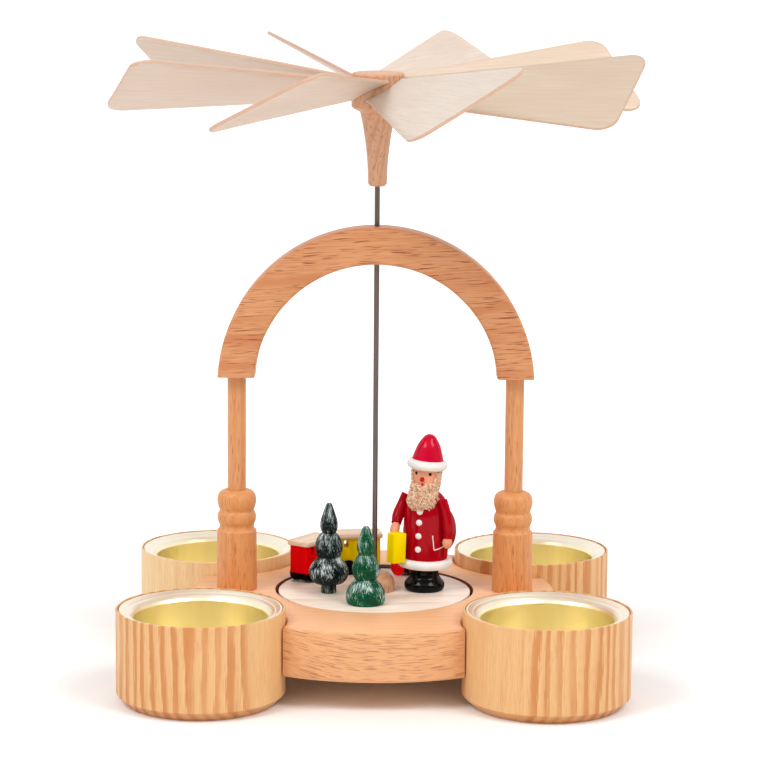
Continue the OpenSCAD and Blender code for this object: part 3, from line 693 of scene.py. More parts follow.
def veneer_edge(name):
    """Sawn edge of the blades: glued layers, a little scorched."""
    tones = bpy.context.scene.pyramid_woods
    made, tree, shader, place = blank(name)
    grime = noise(tree, place, 2600, 3)
    sawn = blend(tree, ramp(tree, grime, (0.35, 0), (0.7, 0.5)), tones.veneer_edge, tones.veneer_dark)
    surface_of(tree, shader, sawn, spread(tree, grime, 0.55, 0.7), grime, 0.05 * MM)
    return made


def lacquer(name, colour, shade=0.82, rough=0.35, coat=0.34, coat_rough=0.03, grain=0.02):
    """Brushed paint under clear gloss: the colour deepens in soft streaks, and the wood shows a little."""
    made, tree, shader, place = blank(name)
    stroke = noise(tree, scaled(tree, place, 420, 420, 90), detail=3)
    brushed = blend(tree, ramp(tree, stroke, (0.3, 0), (0.7, 1)), colour, tinted(colour, (shade,) * 3))
    surface_of(tree, shader, brushed, spread(tree, stroke, rough, rough + 0.12), stroke, grain * MM)
    gloss(shader, coat, coat_rough)
    return made


def snowy(name, colour, snow, amount):
    """Gloss paint with snow brushed on dry in fine upright strokes, on the uv map of the turned tree."""
    made, tree, shader, place = blank(name, "UV")
    stroke = noise(tree, scaled(tree, place, 3900, 520, 0), detail=3, rough=0.75)
    patch = noise(tree, scaled(tree, place, 240, 200, 0), detail=1.5)
    rise = z_of(tree, add(tree, "NewGeometry", {})["Normal"])
    thick = sum_of(tree, patch, 0.45, sum_of(tree, rise, 0.07, stroke))
    mark = ramp(tree, thick, (amount, 0), (amount + 0.04, 0.6), (amount + 0.11, 1))
    under = blend(tree, ramp(tree, patch, (0.3, 0), (0.6, 1)), tinted(colour, (0.5,) * 3), colour)
    snowed = blend(tree, mark, under, snow)
    surface_of(tree, shader, snowed, spread(tree, mark, 0.3, 0.5), mark, 0.05 * MM)
    gloss(shader, 0.3, 0.06)
    return made


def metal(name, colour, rough, stretch):
    """Metal with drawn streaks: the roughness and colour follow a stretched noise."""
    made, tree, shader, place = blank(name)
    streak = noise(tree, scaled(tree, place, *stretch), detail=3)
    drawn = blend(tree, ramp(tree, streak, (0.35, 0), (0.75, 1)), colour, tinted(colour, (0.82,) * 3))
    uneven = spread(tree, streak, rough - 0.08, rough + 0.12)
    surface_of(tree, shader, drawn, uneven, streak, 0.03 * MM, 0.3)
    shader.inputs["Metallic"].default_value = 1.0
    return made


def shavings(name, colour):
    """Curled shavings: each curl has its own tint, and fine fibres run round it.

    A low tint leans to brown: the core's low tint is painted shade in the gaps between the curls.
    """
    made, tree, shader, place = blank(name)
    tint = add(tree, "Attribute", {}, attribute_name="tint")["Fac"]
    fibre = noise(tree, place, 2500, 2)
    brown_and_shade = tinted(colour, (0.66, 0.26, 0.19))
    curl = blend(tree, tint, brown_and_shade, colour)
    lined = blend(tree, ramp(tree, fibre, (0.45, 0), (0.75, 0.5)), curl, brown_and_shade)
    surface_of(tree, shader, lined, spread(tree, fibre, 0.5, 0.75))
    return made


# Stand

class PYRAMID_OT_cups(bpy.types.Operator):
    """Four turned candle cups of ash, each from its own billet"""
    bl_idname = "pyramid.cups"
    bl_label = "Candle cups"

    def execute(self, context):
        shape = context.scene.pyramid_stand
        piths = {"fl": (0.012, 0.085), "fr": (0.012, -0.085), "rl": (0.06, 0.05), "rr": (-0.05, 0.06)}
        calms = {"fl": 103 * MM, "fr": 98 * MM, "rl": 60 * MM, "rr": 1.0}
        tints = {"rl": (1.08, 1.28, 1.5)}
        for name in CUPS:
            centre, half = middle("cup_" + name)
            top = 2 * half[2]
            tin = middle("tin_insert_" + name)[1][0]
            floor = heights("tin_insert_" + name)[0] - shape.play
            bore = tin - shape.flange + shape.play
            seat = top - shape.rebate
            profile = eased([
                (0, 0, 0), (half[0] - shape.cup_chamfer, 0, 0.3 * MM), (half[0], shape.cup_chamfer, 0.5 * MM),
                (half[0], top, 0.35 * MM), (tin + shape.play, top, 0.12 * MM),
                (tin + shape.play, seat, 0), (tin - shape.hem + shape.play, seat, 0),
                (bore, seat - shape.funnel, 0), (bore, floor, 0.5 * MM), (0, floor, 0)])
            made = turned("cup_shell_" + name, profile, (centre[0], centre[1], 0), 160)
            # The foot setting darkens each cup below its chamfer: painted shade near the floor.
            finish = ash("ash_cup_" + name, tints.get(name, (1, 1, 1)), centre=tuple(centre), turn=UPRIGHT,
                         pith=piths[name], ring=3.6, calm=calms[name], ragged=0.8, early=0.5, wander=1.3,
                         faded=0.6, streak=0.3, flecks=0.35, fleck_size=(4.5, 0.15, 0.15),
                         foot=shape.cup_chamfer)
            settle(made, "stand", finish, "ash", "cup_" + name)
        return {"FINISHED"}


class PYRAMID_OT_inserts(bpy.types.Operator):
    """Four pressed tin inserts with a stepped, rolled flange"""
    bl_idname = "pyramid.inserts"
    bl_label = "Tin inserts"

    # Distance in from the rim, drop below it and rounding of the flange's steps
    steps_mm = ((0.6, 0, 0.4), (1.65, 0.62, 0.2), (1.9, 0.86, 0.15), (2.2, 0.76, 0.3), (3.0, 1.2, 0.6),
                (3.7, 1.85, 0.6))

    def execute(self, context):
        shape = context.scene.pyramid_stand
        finish = self.gold(context.scene.pyramid_lacquers)
        for name in CUPS:
            centre, half = middle("tin_insert_" + name)
            low, high = heights("tin_insert_" + name)
            high -= RIM_DROP
            rim, t = half[0], shape.tin
            wall = rim - shape.flange
            seat = heights("cup_" + name)[1] - shape.rebate
            profile = eased([
                (0, low, 0), (wall, low, 1.2 * MM), (wall, seat - shape.funnel, 0),
                (rim - shape.hem, seat, 0), (rim, seat, 0.1 * MM), (rim, high, 0.2 * MM),
                *((rim - away * MM, high - drop * MM, edge * MM) for away, drop, edge in self.steps_mm),
                (wall - t, high - FLANGE_FOOT, 0.5 * MM), (wall - t, low + t, 1 * MM), (0, low + t, 0)], 6)
            made = turned("tin_shell_" + name, profile, (centre[0], centre[1], 0), 160, sharp=60)
            settle(made, "insert_" + name, finish, "gold_tin", "tin_insert_" + name)
        return {"FINISHED"}

    def gold(self, tones):
        """Gold lacquered tin: paler on the flange, with soft marks up the wall where it was drawn."""
        made, tree, shader, place = blank("gold_tin_finish")
        mark = noise(tree, scaled(tree, place, 300, 300, 14), detail=2)
        foot = heights("tin_insert_fl")[1] - FLANGE_FOOT
        flange = spread(tree, z_of(tree, place), 0, 1, foot, foot + 0.9 * MM)
        plain = blend(tree, flange, tones.tin, tones.tin_rim)
        dull = blend(tree, ramp(tree, mark, (0.4, 0), (0.75, 0.25)), plain, tinted(tones.tin, (0.8,) * 3))
        surface_of(tree, shader, dull, spread(tree, mark, 0.3, 0.42), mark, 0.03 * MM, 0.2)
        shader.inputs["Metallic"].default_value = 1.0
        return made


class PYRAMID_OT_base_plate(bpy.types.Operator):
    """Round base plate with a scallop for each cup and a pocket for the turntable"""
    bl_idname = "pyramid.base_plate"
    bl_label = "Base plate"

    def execute(self, context):
        shape = context.scene.pyramid_stand
        half = middle("base_plate")[1]
        low, high = heights("base_plate")[0], heights("base_ring")[1]
        pocket = middle("turntable")[1][0] + shape.pocket_play
        pocket_z = heights("turntable")[0] - shape.pocket_under
        way = np.linspace(0, 2 * np.pi, PLATE_COLUMNS, endpoint=False)
        edge = edge_rows(low, high, shape.plate_edge)
        rows = [(self.rim(way, half[0], shape.play, inset), z) for inset, z in edge]
        lip = edge_rows(pocket_z, high, 0.15 * MM)[EDGE_ROWS:]
        rows += [(pocket + inset, z) for inset, z in lip[::-1]] + [(pocket, pocket_z)]
        rings = [np.stack([r * np.cos(way), r * np.sin(way), np.full(len(way), z)], 1) for r, z in rows]
        made = skin("base_plate_disc", np.stack(rings), ends=((0, 0, low), (0, 0, pocket_z)), sharp=35)
        # The level tint lightens the plate's top faces: a painted highlight for light from above.
        finish = beech("beech_base_plate", centre=(0, 0, high), turn=(0.28, 0.03, 0.06), pith=(0.02, -0.055),
                       ring=2.6, wander=3, rings=0.4, flecks=0.6, fleck_at=0.58, fleck_size=(5, 7, 0.2),
                       level=(1.13, 1.22, 1.35))
        settle(made, "stand", finish, "beech", "base_plate", "base_ring")
        # The pocket's finish is beech tinted very dark: painted shade in the recess under the turntable.
        made.data.materials.append(beech("beech_pocket_shade", (0.34, 0.17, 0.12), centre=(0, 0, high), ring=2.6))
        self.paint_pocket_shade(made, pocket, pocket_z)
        return {"FINISHED"}

    def paint_pocket_shade(self, made, radius, floor):
        """Gives the pocket its painted shade, a very dark beech: the faces within its wall and above its
        floor.
        """
        centres = np.zeros(len(made.data.polygons) * 3)
        made.data.polygons.foreach_get("center", centres)
        x, y, z = centres.reshape(-1, 3).T
        inside = (np.hypot(x, y) < radius + 0.02 * MM) & (z > floor - 0.1 * MM)
        made.data.polygons.foreach_set("material_index", inside.astype(np.int32))

    def rim(self, way, radius, play, inset):
        """Rim at each direction: the plate's circle, or the near side of a cup's circle where that cuts in.

        A ray at an angle a from a cup at a distance d meets its circle of radius r at d cos a, less the root
        of r squared minus (d sin a) squared.
        """
        found = np.full(len(way), radius - inset)
        for name in CUPS:
            centre, half = middle("cup_" + name)
            away = math.hypot(centre[0], centre[1])
            off = way - math.atan2(centre[1], centre[0])
            inside = (half[0] + play + inset) ** 2 - (away * np.sin(off)) ** 2
            near = away * np.cos(off) - np.sqrt(np.maximum(inside, 0))
            cuts = (inside > 0) & (np.cos(off) > 0)
            found = np.where(cuts, np.minimum(found, near), found)
        return found


class PYRAMID_OT_columns(bpy.types.Operator):
    """Two columns: a turned foot with beads, and a round post in it"""
    bl_idname = "pyramid.columns"
    bl_label = "Columns"

    def execute(self, context):
        base = heights("base_ring")[1]
        for side in SIDES:
            foot, foot_half = middle("column_foot_" + side)
            post, post_half = middle("post_" + side)
            tall = heights("column_foot_" + side)[1] - base
            made = turned("foot_turning_" + side, self.foot(foot_half[0], tall, post_half[0]),
                          (foot[0], foot[1], base), 96, sharp=50)
            grain = dict(turn=UPRIGHT, ring=2.0, wander=1.2, rings=0.6, flecks=0.6, fleck_size=(4, 0.2, 0.2))
            sign = 1 if side == "l" else -1
            finish = beech("beech_foot_" + side, (0.93, 0.78, 0.58), centre=tuple(foot),
                           pith=(0.03 * sign, 0.02), **grain)
            settle(made, "stand", finish, "beech", "column_foot_" + side)
            low, high = heights("post_" + side)
            radius, edge = post_half[0], 0.4 * MM
            rod = eased([(0, low, 0), (radius, low, edge), (radius, high, edge), (0, high, 0)])
            made = turned("post_rod_" + side, rod, (post[0], post[1], 0), 64)
            finish = beech("beech_post_" + side, (0.9, 0.8, 0.68), centre=tuple(post),
                           pith=(0.02, -0.03 * sign), **grain)
            settle(made, "stand", finish, "beech", "post_" + side)
        return {"FINISHED"}

    def foot(self, radius, height, post):
        """Profile of a foot: a shaft that narrows a little, a hollow, a bead, a neck and a full bead."""
        shares = [(0.955, 0.598), (0.9, 0.606), (0.85, 0.632), (0.865, 0.658), (0.935, 0.688), (0.958, 0.726),
                  (0.93, 0.762), (0.862, 0.79), (0.862, 0.806), (0.925, 0.842), (0.965, 0.893), (0.93, 0.942),
                  (0.83, 0.976), (0.68, 0.995)]
        beads = through(np.array(shares) * (radius, height), 5)
        shaft = eased([(0, 0, 0), (radius, 0, 0.3 * MM), (0.975 * radius, 0.585 * height, 0.3 * MM),
                       tuple(beads[0]) + (0,)])
        hole, floor = post + TIGHT, 0.62 * height
        return np.vstack([shaft[:-1], beads, (hole, height), (hole, floor), (0, floor)])


class PYRAMID_OT_arch(bpy.types.Operator):
    """Arch board: a rounded oblong carried along a bow and cut level at both ends"""
    bl_idname = "pyramid.arch"
    bl_label = "Arch"

    def execute(self, context):
        shape = context.scene.pyramid_stand
        half = middle("arch")[1]
        low, high = heights("arch")
        outer = half[0]
        centre_z = high - outer
        cut = low - centre_z
        mid = math.hypot(middle("post_r")[0][0], cut)
        section = rounded_box(outer - mid, half[1], shape.arch_edge)
        edge = edge_rows(0, 1, shape.edge)
        between = np.linspace(2 * MM, 1 - 2 * MM, ARCH_ROWS)
        ends = np.concatenate([edge[:EDGE_ROWS, 1], between, edge[EDGE_ROWS:, 1]])
        drawn = np.concatenate([edge[:EDGE_ROWS, 0], 0 * between, edge[EDGE_ROWS:, 0]])
        scale = 1 - drawn[:, None] / np.minimum(outer - mid, half[1])
        radius = mid + section[None, :, 0] * scale
        depth = section[None, :, 1] * scale
        first = np.arcsin(cut / radius)
        bow = np.pi - first - ends[:, None] * (np.pi - 2 * first)
        grid = np.stack([radius * np.cos(bow), depth + 0 * bow, centre_z + radius * np.sin(bow)], -1)
        made = skin("arch_bow", grid, ends=("flat", "flat"), sharp=35)
        finish = beech("beech_arch", (0.87, 0.79, 0.75), deep=(0.96, 0.84, 0.76), centre=(0, 0, high),
                       turn=(0, -0.06, 0.0), pith=(0.09, 0.01), ring=3.0, wander=4, rings=1.0, faded=0.2,
                       streak=1.0, flecks=1.0, fleck_size=(6, 7, 0.24), fleck_at=0.645)
        settle(made, "stand", finish, "beech", "arch")
        return {"FINISHED"}


class PYRAMID_OT_fittings(bpy.types.Operator):
    """Finishes of the frame nodes that stay: dowels, bearing, spindle, hub and couplings"""
    bl_idname = "pyramid.fittings"
    bl_label = "Fittings"

    def execute(self, context):
        tones = context.scene.pyramid_lacquers
        steel = metal("spindle_steel_finish", tones.steel, 0.36, (900, 900, 25))
        refinish("spindle", steel)
        refinish("train_couplings", steel)
        refinish("bearing_cup", metal("bearing_brass_finish", tones.brass, 0.3, (400, 400, 400)))
        refinish("cup_dowels", beech("beech_dowels", wander=1))
        hub = middle("propeller_hub")[0]
        grain = beech("beech_hub", (0.82, 0.88, 1.12), centre=tuple(hub), turn=(0.0, math.radians(-84), 0.1),
                      pith=(0.001, -0.009), ring=1.9, wander=1.6, flecks=0.6, fleck_size=(2.4, 0.3, 0.3))
        refinish("propeller_hub", grain)
        return {"FINISHED"}


# Rotor

class PYRAMID_OT_turntable(bpy.types.Operator):
    """Turning disc with its gap, and the domed knob round the spindle"""
    bl_idname = "pyramid.turntable"
    bl_label = "Turntable"

    def execute(self, context):
        shape = context.scene.pyramid_stand
        hole = middle("spindle")[1][0] + TIGHT
        radius = middle("turntable")[1][0] - shape.turntable_trim
        low, high = heights("turntable")
        edge = 0.3 * shape.edge
        rows = eased([(hole, low, 0), (radius, low, edge), (radius, high, edge), (hole, high, 0)])
        made = turned("turntable_disc", rows, columns=200, loop=True)
        grain = linden("linden_disc", centre=(0, 0, high), turn=(0, 0, 0.12), pith=(0.01, -0.09), streak=0.8)
        settle(made, "rotor", grain, "linden", "turntable")
        radius = middle("turntable_knob")[1][0]
        low, high = heights("turntable_knob")
        bow = np.linspace(0, np.pi / 2, 18)
        rise = low + (high - low) * (0.35 + 0.65 * np.sin(bow))
        crown = np.stack([radius * (0.3 + 0.7 * np.cos(bow)), rise], 1)
        rows = np.vstack([(hole, low), (radius, low), crown, (hole, high)])
        made = turned("knob_dome", rows, columns=96, loop=True, sharp=50)
        grain = beech("beech_knob", (0.75, 0.78, 0.95), centre=(0, 0, low), turn=UPRIGHT, pith=(0.012, 0.02),
                      ring=1.6, flecks=0.5)
        settle(made, "rotor", grain, "beech", "turntable_knob")
        return {"FINISHED"}


class PYRAMID_OT_blades(bpy.types.Operator):
    """Eight veneer blades, each a little differently warped"""
    bl_idname = "pyramid.blades"
    bl_label = "Propeller blades"

    def execute(self, context):
        shape = context.scene.pyramid_propeller
        sawn = veneer_edge("veneer_sawn_edge")
        tints = {0: (0.97, 0.93, 0.86), 6: (0.92, 0.97, 0.99), 7: (0.8, 0.77, 0.7)}
        top = heights("spindle")[1]
        hub = (Matrix.Translation((0, 0, top - shape.grip)) @ Matrix.Rotation(shape.lean, 4, "X")
               @ Matrix.Translation((0, 0, shape.grip + shape.lift)))
        warps = np.random.default_rng(5).uniform(-1, 1, (BLADES, 2)) * shape.warp
        for i in range(BLADES):
            grid, uv = self.blade(shape, *warps[i])
            heading = shape.start + i * 2 * math.pi / BLADES + shape.turns[i]
            place = (hub @ Matrix.Rotation(heading, 4, "Z") @ Matrix.Rotation(-shape.rise, 4, "Y")
                     @ Matrix.Rotation(shape.pitch + shape.tilts[i], 4, "X"))
            made = skin(f"blade_veneer_{i + 1}", grid, ends=("flat", "flat"), uv=uv + (0.2 * i, 0.13 * i),
                        matrix=place, sharp=50)
            face = veneer(f"veneer_face_{i + 1}", tints.get(i, (1, 1, 1)))
            settle(made, "rotor", face, "veneer", f"blade_{i + 1}")
            made.data.materials.append(sawn)
            self.mark_edges(made, place)
        return {"FINISHED"}

    def blade(self, shape, twist, camber):
        """Grid of a blade along X: an oblong section that widens from the hub and rounds off at the tip.

        Each section runs along the lower face, round one edge, back along the upper face and round the other.
        The twist turns a section by the square of its share of the way out, and the camber bows it.
        """
        half_root, half_tip = shape.root_width / 2, shape.tip_width / 2
        slope = (half_tip - half_root) / (shape.tip - shape.head)
        side = math.atan(slope)
        turn_x = shape.tip - shape.corner
        turn_y = half_root + slope * (turn_x - shape.head) - shape.corner / math.cos(side)
        arc = np.linspace(np.pi / 2 + side, 0.0, 12)
        sides = np.linspace(shape.head, turn_x - 3 * MM, 26)
        straight = np.concatenate([[shape.root], sides])
        x = np.concatenate([straight, turn_x + shape.corner * np.cos(arc)])
        width = np.concatenate([half_root + slope * np.maximum(straight - shape.head, 0),
                                turn_y + shape.corner * np.sin(arc)])
        edge = shape.thick * 0.3
        bow = np.linspace(-np.pi / 2, np.pi / 2, EDGE_POINTS)
        across = np.linspace(-1, 1, FACE_POINTS + 2)[1:-1]
        face, end = np.ones(FACE_POINTS), np.ones(EDGE_POINTS)
        flat_y = np.concatenate([across, end, across[::-1], -end])
        edge_y = np.concatenate([0 * face, np.cos(bow), 0 * face, -np.cos(bow)]) * edge
        up = np.concatenate([-face, np.sin(bow), face, -np.sin(bow)]) * shape.thick / 2
        y = flat_y[None] * (width - edge)[:, None] + edge_y[None]
        out = ((x - shape.head) / (shape.tip - shape.head)).clip(0)[:, None]
        lean = twist * out ** 2 * y + camber * out * y * y / half_tip
        grid = np.stack([x[:, None] + 0 * y, y, up[None] + lean], -1)
        uv = np.stack([grid[..., 0], grid[..., 1] + np.where(up > 0, 0.06, 0.0)], -1)
        return grid, np.concatenate([uv, uv[:, :1]], 1)

    def mark_edges(self, made, place):
        """Gives the sawn edge its own finish: the faces that don't look along the blade's own upright."""
        normals = np.zeros(len(made.data.polygons) * 3)
        made.data.polygons.foreach_get("normal", normals)
        upright = np.array(place.to_3x3().col[2])
        sawn = np.abs(normals.reshape(-1, 3) @ upright) < 0.75
        made.data.polygons.foreach_set("material_index", sawn.astype(np.int32))


class PYRAMID_OT_trees(bpy.types.Operator):
    """Two turned trees with brushed snow"""
    bl_idname = "pyramid.trees"
    bl_label = "Trees"

    profiles_mm = {
        "dark_tree": (
            ((2.35, 0), (2.35, 3.1)),
            ((4.3, 3.1), (4.7, 3.3), (5, 3.65), (5.75, 4.7), (6.2, 6.8), (5.35, 8.85), (4.1, 10.4),
             (3.5, 11.35)),
            ((3.55, 11.5), (3.8, 12), (4.15, 13), (4.3, 14.8), (3.8, 16.7), (3.1, 18), (2.4, 18.65)),
            ((2.1, 18.85), (2.4, 19.5), (2.7, 20.6), (2.75, 21.6), (2.55, 22.9), (2.05, 24.5), (1.55, 26),
             (1.1, 27.3), (0.75, 28), (0.4, 28.17))),
        "green_tree": (
            ((5.45, 0), (5.75, 0.5), (5.95, 1.5), (6, 2.6), (5.7, 4), (4.9, 5.5), (4, 6.6), (3.3, 7.3)),
            ((3.2, 7.5), (3.55, 8.1), (4.05, 9.3), (4.2, 11), (3.8, 12.7), (3.15, 14), (2.45, 14.9)),
            ((2.15, 15.1), (2.45, 15.8), (2.72, 17), (2.72, 18.2), (2.4, 19.6), (1.9, 21), (1.45, 22.3),
             (1.1, 23.2), (0.8, 23.7), (0.4, 23.95))),
    }

    def execute(self, context):
        tones = context.scene.pyramid_lacquers
        paints = {
            "dark_tree": (snowy("dark_tree_paint", tones.dark_green, tones.snow, 0.79), "dark_green_lacquer"),
            "green_tree": (snowy("green_tree_paint", tones.green, tones.snow, 0.8), "green_lacquer"),
        }
        for name, tiers in self.profiles_mm.items():
            centre = middle(name)[0]
            low, high = heights(name)
            rows = np.vstack([through(tier) for tier in tiers]) * MM
            rows = np.vstack([(0, 0), rows, (0, high - low)])
            made = turned(name + "_turning", rows, (centre[0], centre[1], low), 96)
            settle(made, "rotor", paints[name][0], paints[name][1], name)
        return {"FINISHED"}


# Figure

def figure_place(leaning=True):
    """Matrix from the figure's own axes, with its front towards -Y, to the frame.

    What stands on the boots leans about their top, and is lifted clear of them.
    """
    shape = bpy.context.scene.pyramid_figure
    x, y, _ = middle("figure_boots")[0]
    deck, top = heights("figure_boots")
    turn = Matrix.Rotation(shape.turn, 4, "Z")
    if not leaning:
        return Matrix.Translation((x, y, deck)) @ turn
    lift = shape.shaft * math.sin(shape.lean) + 0.02 * MM
    return (Matrix.Translation((x, y, top + lift)) @ Matrix.Rotation(shape.lean, 4, "Y") @ turn
            @ Matrix.Translation((0, 0, deck - top)))


def hat_place():
    """Matrix of the hat and its brim, which tip a little on the head."""
    shape = bpy.context.scene.pyramid_figure
    place = Matrix.Translation((-shape.hat_aside, 0, 0)) @ figure_place()
    spot = place @ Vector((0, 0, shape.brim))
    return Matrix.Translation(spot) @ Matrix.Rotation(shape.tilt, 4, "Y") @ Matrix.Translation(-spot) @ place


def head_place():
    """Matrix of the head and the paint on it, which sit a little to one side on the coat."""
    shape = bpy.context.scene.pyramid_figure
    return Matrix.Translation((-shape.head_aside, 0, 0)) @ figure_place()


def girth(name):
    """Radius of a turned piece of the figure: half its box along Y, about which it leans."""
    return middle("figure_" + name)[1][1]


def coat_profile():
    """Profile of the coat: nearly upright, drawn in at the hem and round at the shoulders."""
    shape = bpy.context.scene.pyramid_figure
    shares = [(0.965, 0), (0.99, 0.06), (1, 0.22), (0.995, 0.48), (0.975, 0.645), (0.93, 0.77), (0.84, 0.875),
              (0.7, 0.953), (0.56, 1)]
    return through(np.array(shares) * (girth("coat"), shape.neck - shape.coat) + (0, shape.coat))


def on_surface(profile, way, height, proud):
    """Points on a turned form at a direction from its front and a height, a little proud of it."""
    order = np.argsort(profile[:, 1])
    radius = np.interp(height, profile[order, 1], profile[order, 0]) + proud
    level = np.broadcast_to(height, np.shape(radius))
    return np.stack([radius * np.sin(way), -radius * np.cos(way), level], -1)


def dome(name, spot, way, radius, rise, place):
    """Low dome on an upright surface: half an ellipsoid that faces a direction from the figure's front."""
    bow = np.linspace(np.pi / 2, -0.5, 9)
    rows = np.stack([radius * np.cos(bow), rise * np.sin(bow)], 1)
    rows[0, 0] = 0
    rows = np.vstack([rows, (0, rows[-1, 1])])
    face = Matrix.Rotation(way, 4, "Z") @ Matrix.Rotation(math.pi / 2, 4, "X")
    return turned(name, rows, columns=28, matrix=place @ Matrix.Translation(spot) @ face, sharp=70)


class PYRAMID_OT_figure(bpy.types.Operator):
    """Turned figure: boots, fur hem, coat, head, brim, hat, sleeves, hands, sack and parcel"""
    bl_idname = "pyramid.figure"
    bl_label = "Figure"

    def execute(self, context):
        tones = context.scene.pyramid_lacquers
        shape = context.scene.pyramid_figure
        place = figure_place()
        red = lacquer("red_lacquer_finish", tones.red, shade=0.8, coat=0.22)
        white = lacquer("white_lacquer_finish", tones.white, shade=0.93, rough=0.4, coat=0.2, coat_rough=0.2)
        black = lacquer("black_lacquer_finish", tones.black, shade=0.7)
        flesh = lacquer("flesh_lacquer_finish", tones.flesh, shade=0.9, rough=0.4, coat=0.2, coat_rough=0.2)
        boots = 2 * middle("figure_boots")[1][2]
        turnings = (
            ("boots", self.boots(boots), black, "black_lacquer"),
            ("hem", self.fur(girth("hem"), boots, shape.coat), white, "white_lacquer"),
            ("coat", np.vstack([(0, shape.coat), coat_profile(), (0, shape.neck)]), red, "red_lacquer"),
            ("head", self.head(shape), flesh, "flesh_lacquer"),
            ("brim", self.fur(girth("brim"), shape.brim, shape.hat), white, "white_lacquer"),
            # The hat's lacquer is a brighter copy of the coat's red: painted light.
            ("hat", self.hat(shape), lacquer("lit_hat_lacquer_finish", tones.lit_hat_red, shade=0.85), "red_lacquer"))
        hat = hat_place()
        seats = {"brim": hat, "hat": hat, "head": head_place(), "boots": figure_place(False)}
        for name, rows, finish, slot in turnings:
            made = turned(f"figure_{name}_turning", rows, matrix=seats.get(name, place), columns=96, sharp=60)
            settle(made, "rotor", finish, slot, "figure_" + name)
        self.arms(place, red, flesh)
        self.sack(place, red, shape.coat)
        yellow = lacquer("yellow_lacquer_finish", tones.yellow, shade=0.9, rough=0.5, coat=0.1)
        self.parcel(place, yellow, shape.coat)
        return {"FINISHED"}

    def boots(self, high):
        """Profile of the boots: a rounded sole, a flare that draws in, and an upright shaft under the hem."""
        shares = [(0.84, 0.0), (0.93, 0.04), (0.985, 0.12), (1, 0.23), (0.97, 0.33), (0.88, 0.44),
                  (0.78, 0.55), (0.72, 0.67), (0.7, 0.82), (0.7, 1.0)]
        return np.vstack([(0, 0), through(np.array(shares) * (girth("boots"), high)), (0, high)])

    def fur(self, radius, low, high):
        """Profile of a fur band: half a round, closed to the axis above and below."""
        bow = np.linspace(-np.pi / 2, np.pi / 2, 22)
        half = (high - low) / 2
        band = np.stack([radius - half * (1 - np.cos(bow)), (low + high) / 2 + half * np.sin(bow)], 1)
        return np.vstack([(0, low), band, (0, high)])

    def head(self, shape):
        """Profile of the head: fullest at the cheeks, and with its top inside the brim."""
        shares = [(0.8, 0), (0.93, 0.16), (1, 0.38), (0.99, 0.65), (0.94, 1)]
        rows = np.array(shares) * (shape.cheek, shape.brim - shape.neck) + (0, shape.neck)
        top = shape.brim + 0.6 * MM
        return np.vstack([(0, shape.neck), through(rows), (rows[-1, 0], top), (0, top)])

    def hat(self, shape):
        """Profile of the hat: full sides that lean in to a round top."""
        shares = [(1, 0), (0.95, 0.12), (0.86, 0.3), (0.74, 0.52), (0.62, 0.67), (0.48, 0.8), (0.33, 0.92),
                  (0.17, 0.985)]
        rows = np.array(shares) * (girth("hat"), shape.top - shape.hat) + (0, shape.hat)
        return np.vstack([(0, shape.hat), through(rows), (0, shape.top)])

    def arms(self, place, red, flesh):
        """Sleeves are a round profile along a bent path with a flat top; a hand is an egg at each wrist."""
        arms_mm = {
            "right": [(-6.6, 0.3, 29.3), (-7.6, -0.6, 26.4), (-8.3, -2.6, 23.2), (-8.2, -4.7, 20.8)],
            "left": [(5.8, -2.8, 29.2), (7.2, -3.0, 25.6), (8.1, -3.0, 20.6), (8.2, -3.1, 17.5)],
        }
        hands_mm = {"right": (-8.1, -6.2, 18.9), "left": (8.15, -3.3, 15.7)}
        widths = {"right": 1.0, "left": 0.86}
        eggs = []
        for side, points in arms_mm.items():
            path = through(np.array(points) * MM, 8)
            t = np.linspace(0, 1, len(path))
            radius = (1.85 - 0.3 * t + 0.22 * np.exp(-((t - 0.66) / 0.2) ** 2)) * widths[side] * MM
            tube = carried(path, radius, 28, up=(0, 1, 0))
            lip = carried(path, radius - 0.18 * MM, 28, up=(0, 1, 0))
            grid = np.concatenate([lip[:1], tube, lip[-1:]])
            made = skin(f"figure_sleeve_{side}_rod", grid, ends=("flat", "flat"), matrix=place, sharp=50)
            settle(made, "rotor", red, "red_lacquer", "figure_sleeve_" + side)
            wrist, palm = np.array(points[-1]) * MM, np.array(hands_mm[side]) * MM
            eggs.append(self.hand(wrist, palm))
        made = skin("figure_hand_eggs", np.stack(eggs), ends=("flat", "flat"), matrix=place, sharp=70)
        settle(made, "rotor", flesh, "flesh_lacquer", "figure_hands")

    def hand(self, wrist, palm):
        """Grid of a hand: a round profile along the line on from the wrist, swelling as an egg does."""
        t = np.linspace(0, 1, 15)
        line = palm - wrist
        path = wrist + line * (0.02 + 1.75 * t[:, None])
        radius = 1.5 * MM * np.sqrt(np.clip(1 - ((t - 0.42) / 0.6) ** 2, 0.02, 1))
        return carried(path, radius, 24, up=(0, 1, 0))

    def sack(self, place, red, coat):
        """Sack on the back: a turned egg, gathered to a tied neck at the top."""
        radius = 7.1 * MM
        low, high = coat + 0.5 * MM, coat + 17.2 * MM
        shares = [(0.3, 0.0), (0.66, 0.04), (0.9, 0.16), (1, 0.36), (0.95, 0.56), (0.78, 0.73), (0.5, 0.86),
                  (0.3, 0.91), (0.33, 0.95), (0.38, 1.0)]
        side = through(np.array(shares) * (radius, high - low) + (0, low))
        rows = np.vstack([(0, low), side, (0, high - 0.6 * MM)])
        made = turned("figure_sack_bag", rows, (0, 7.6 * MM, 0), matrix=place, columns=96, sharp=60)
        settle(made, "rotor", red, "red_lacquer", "figure_sack")

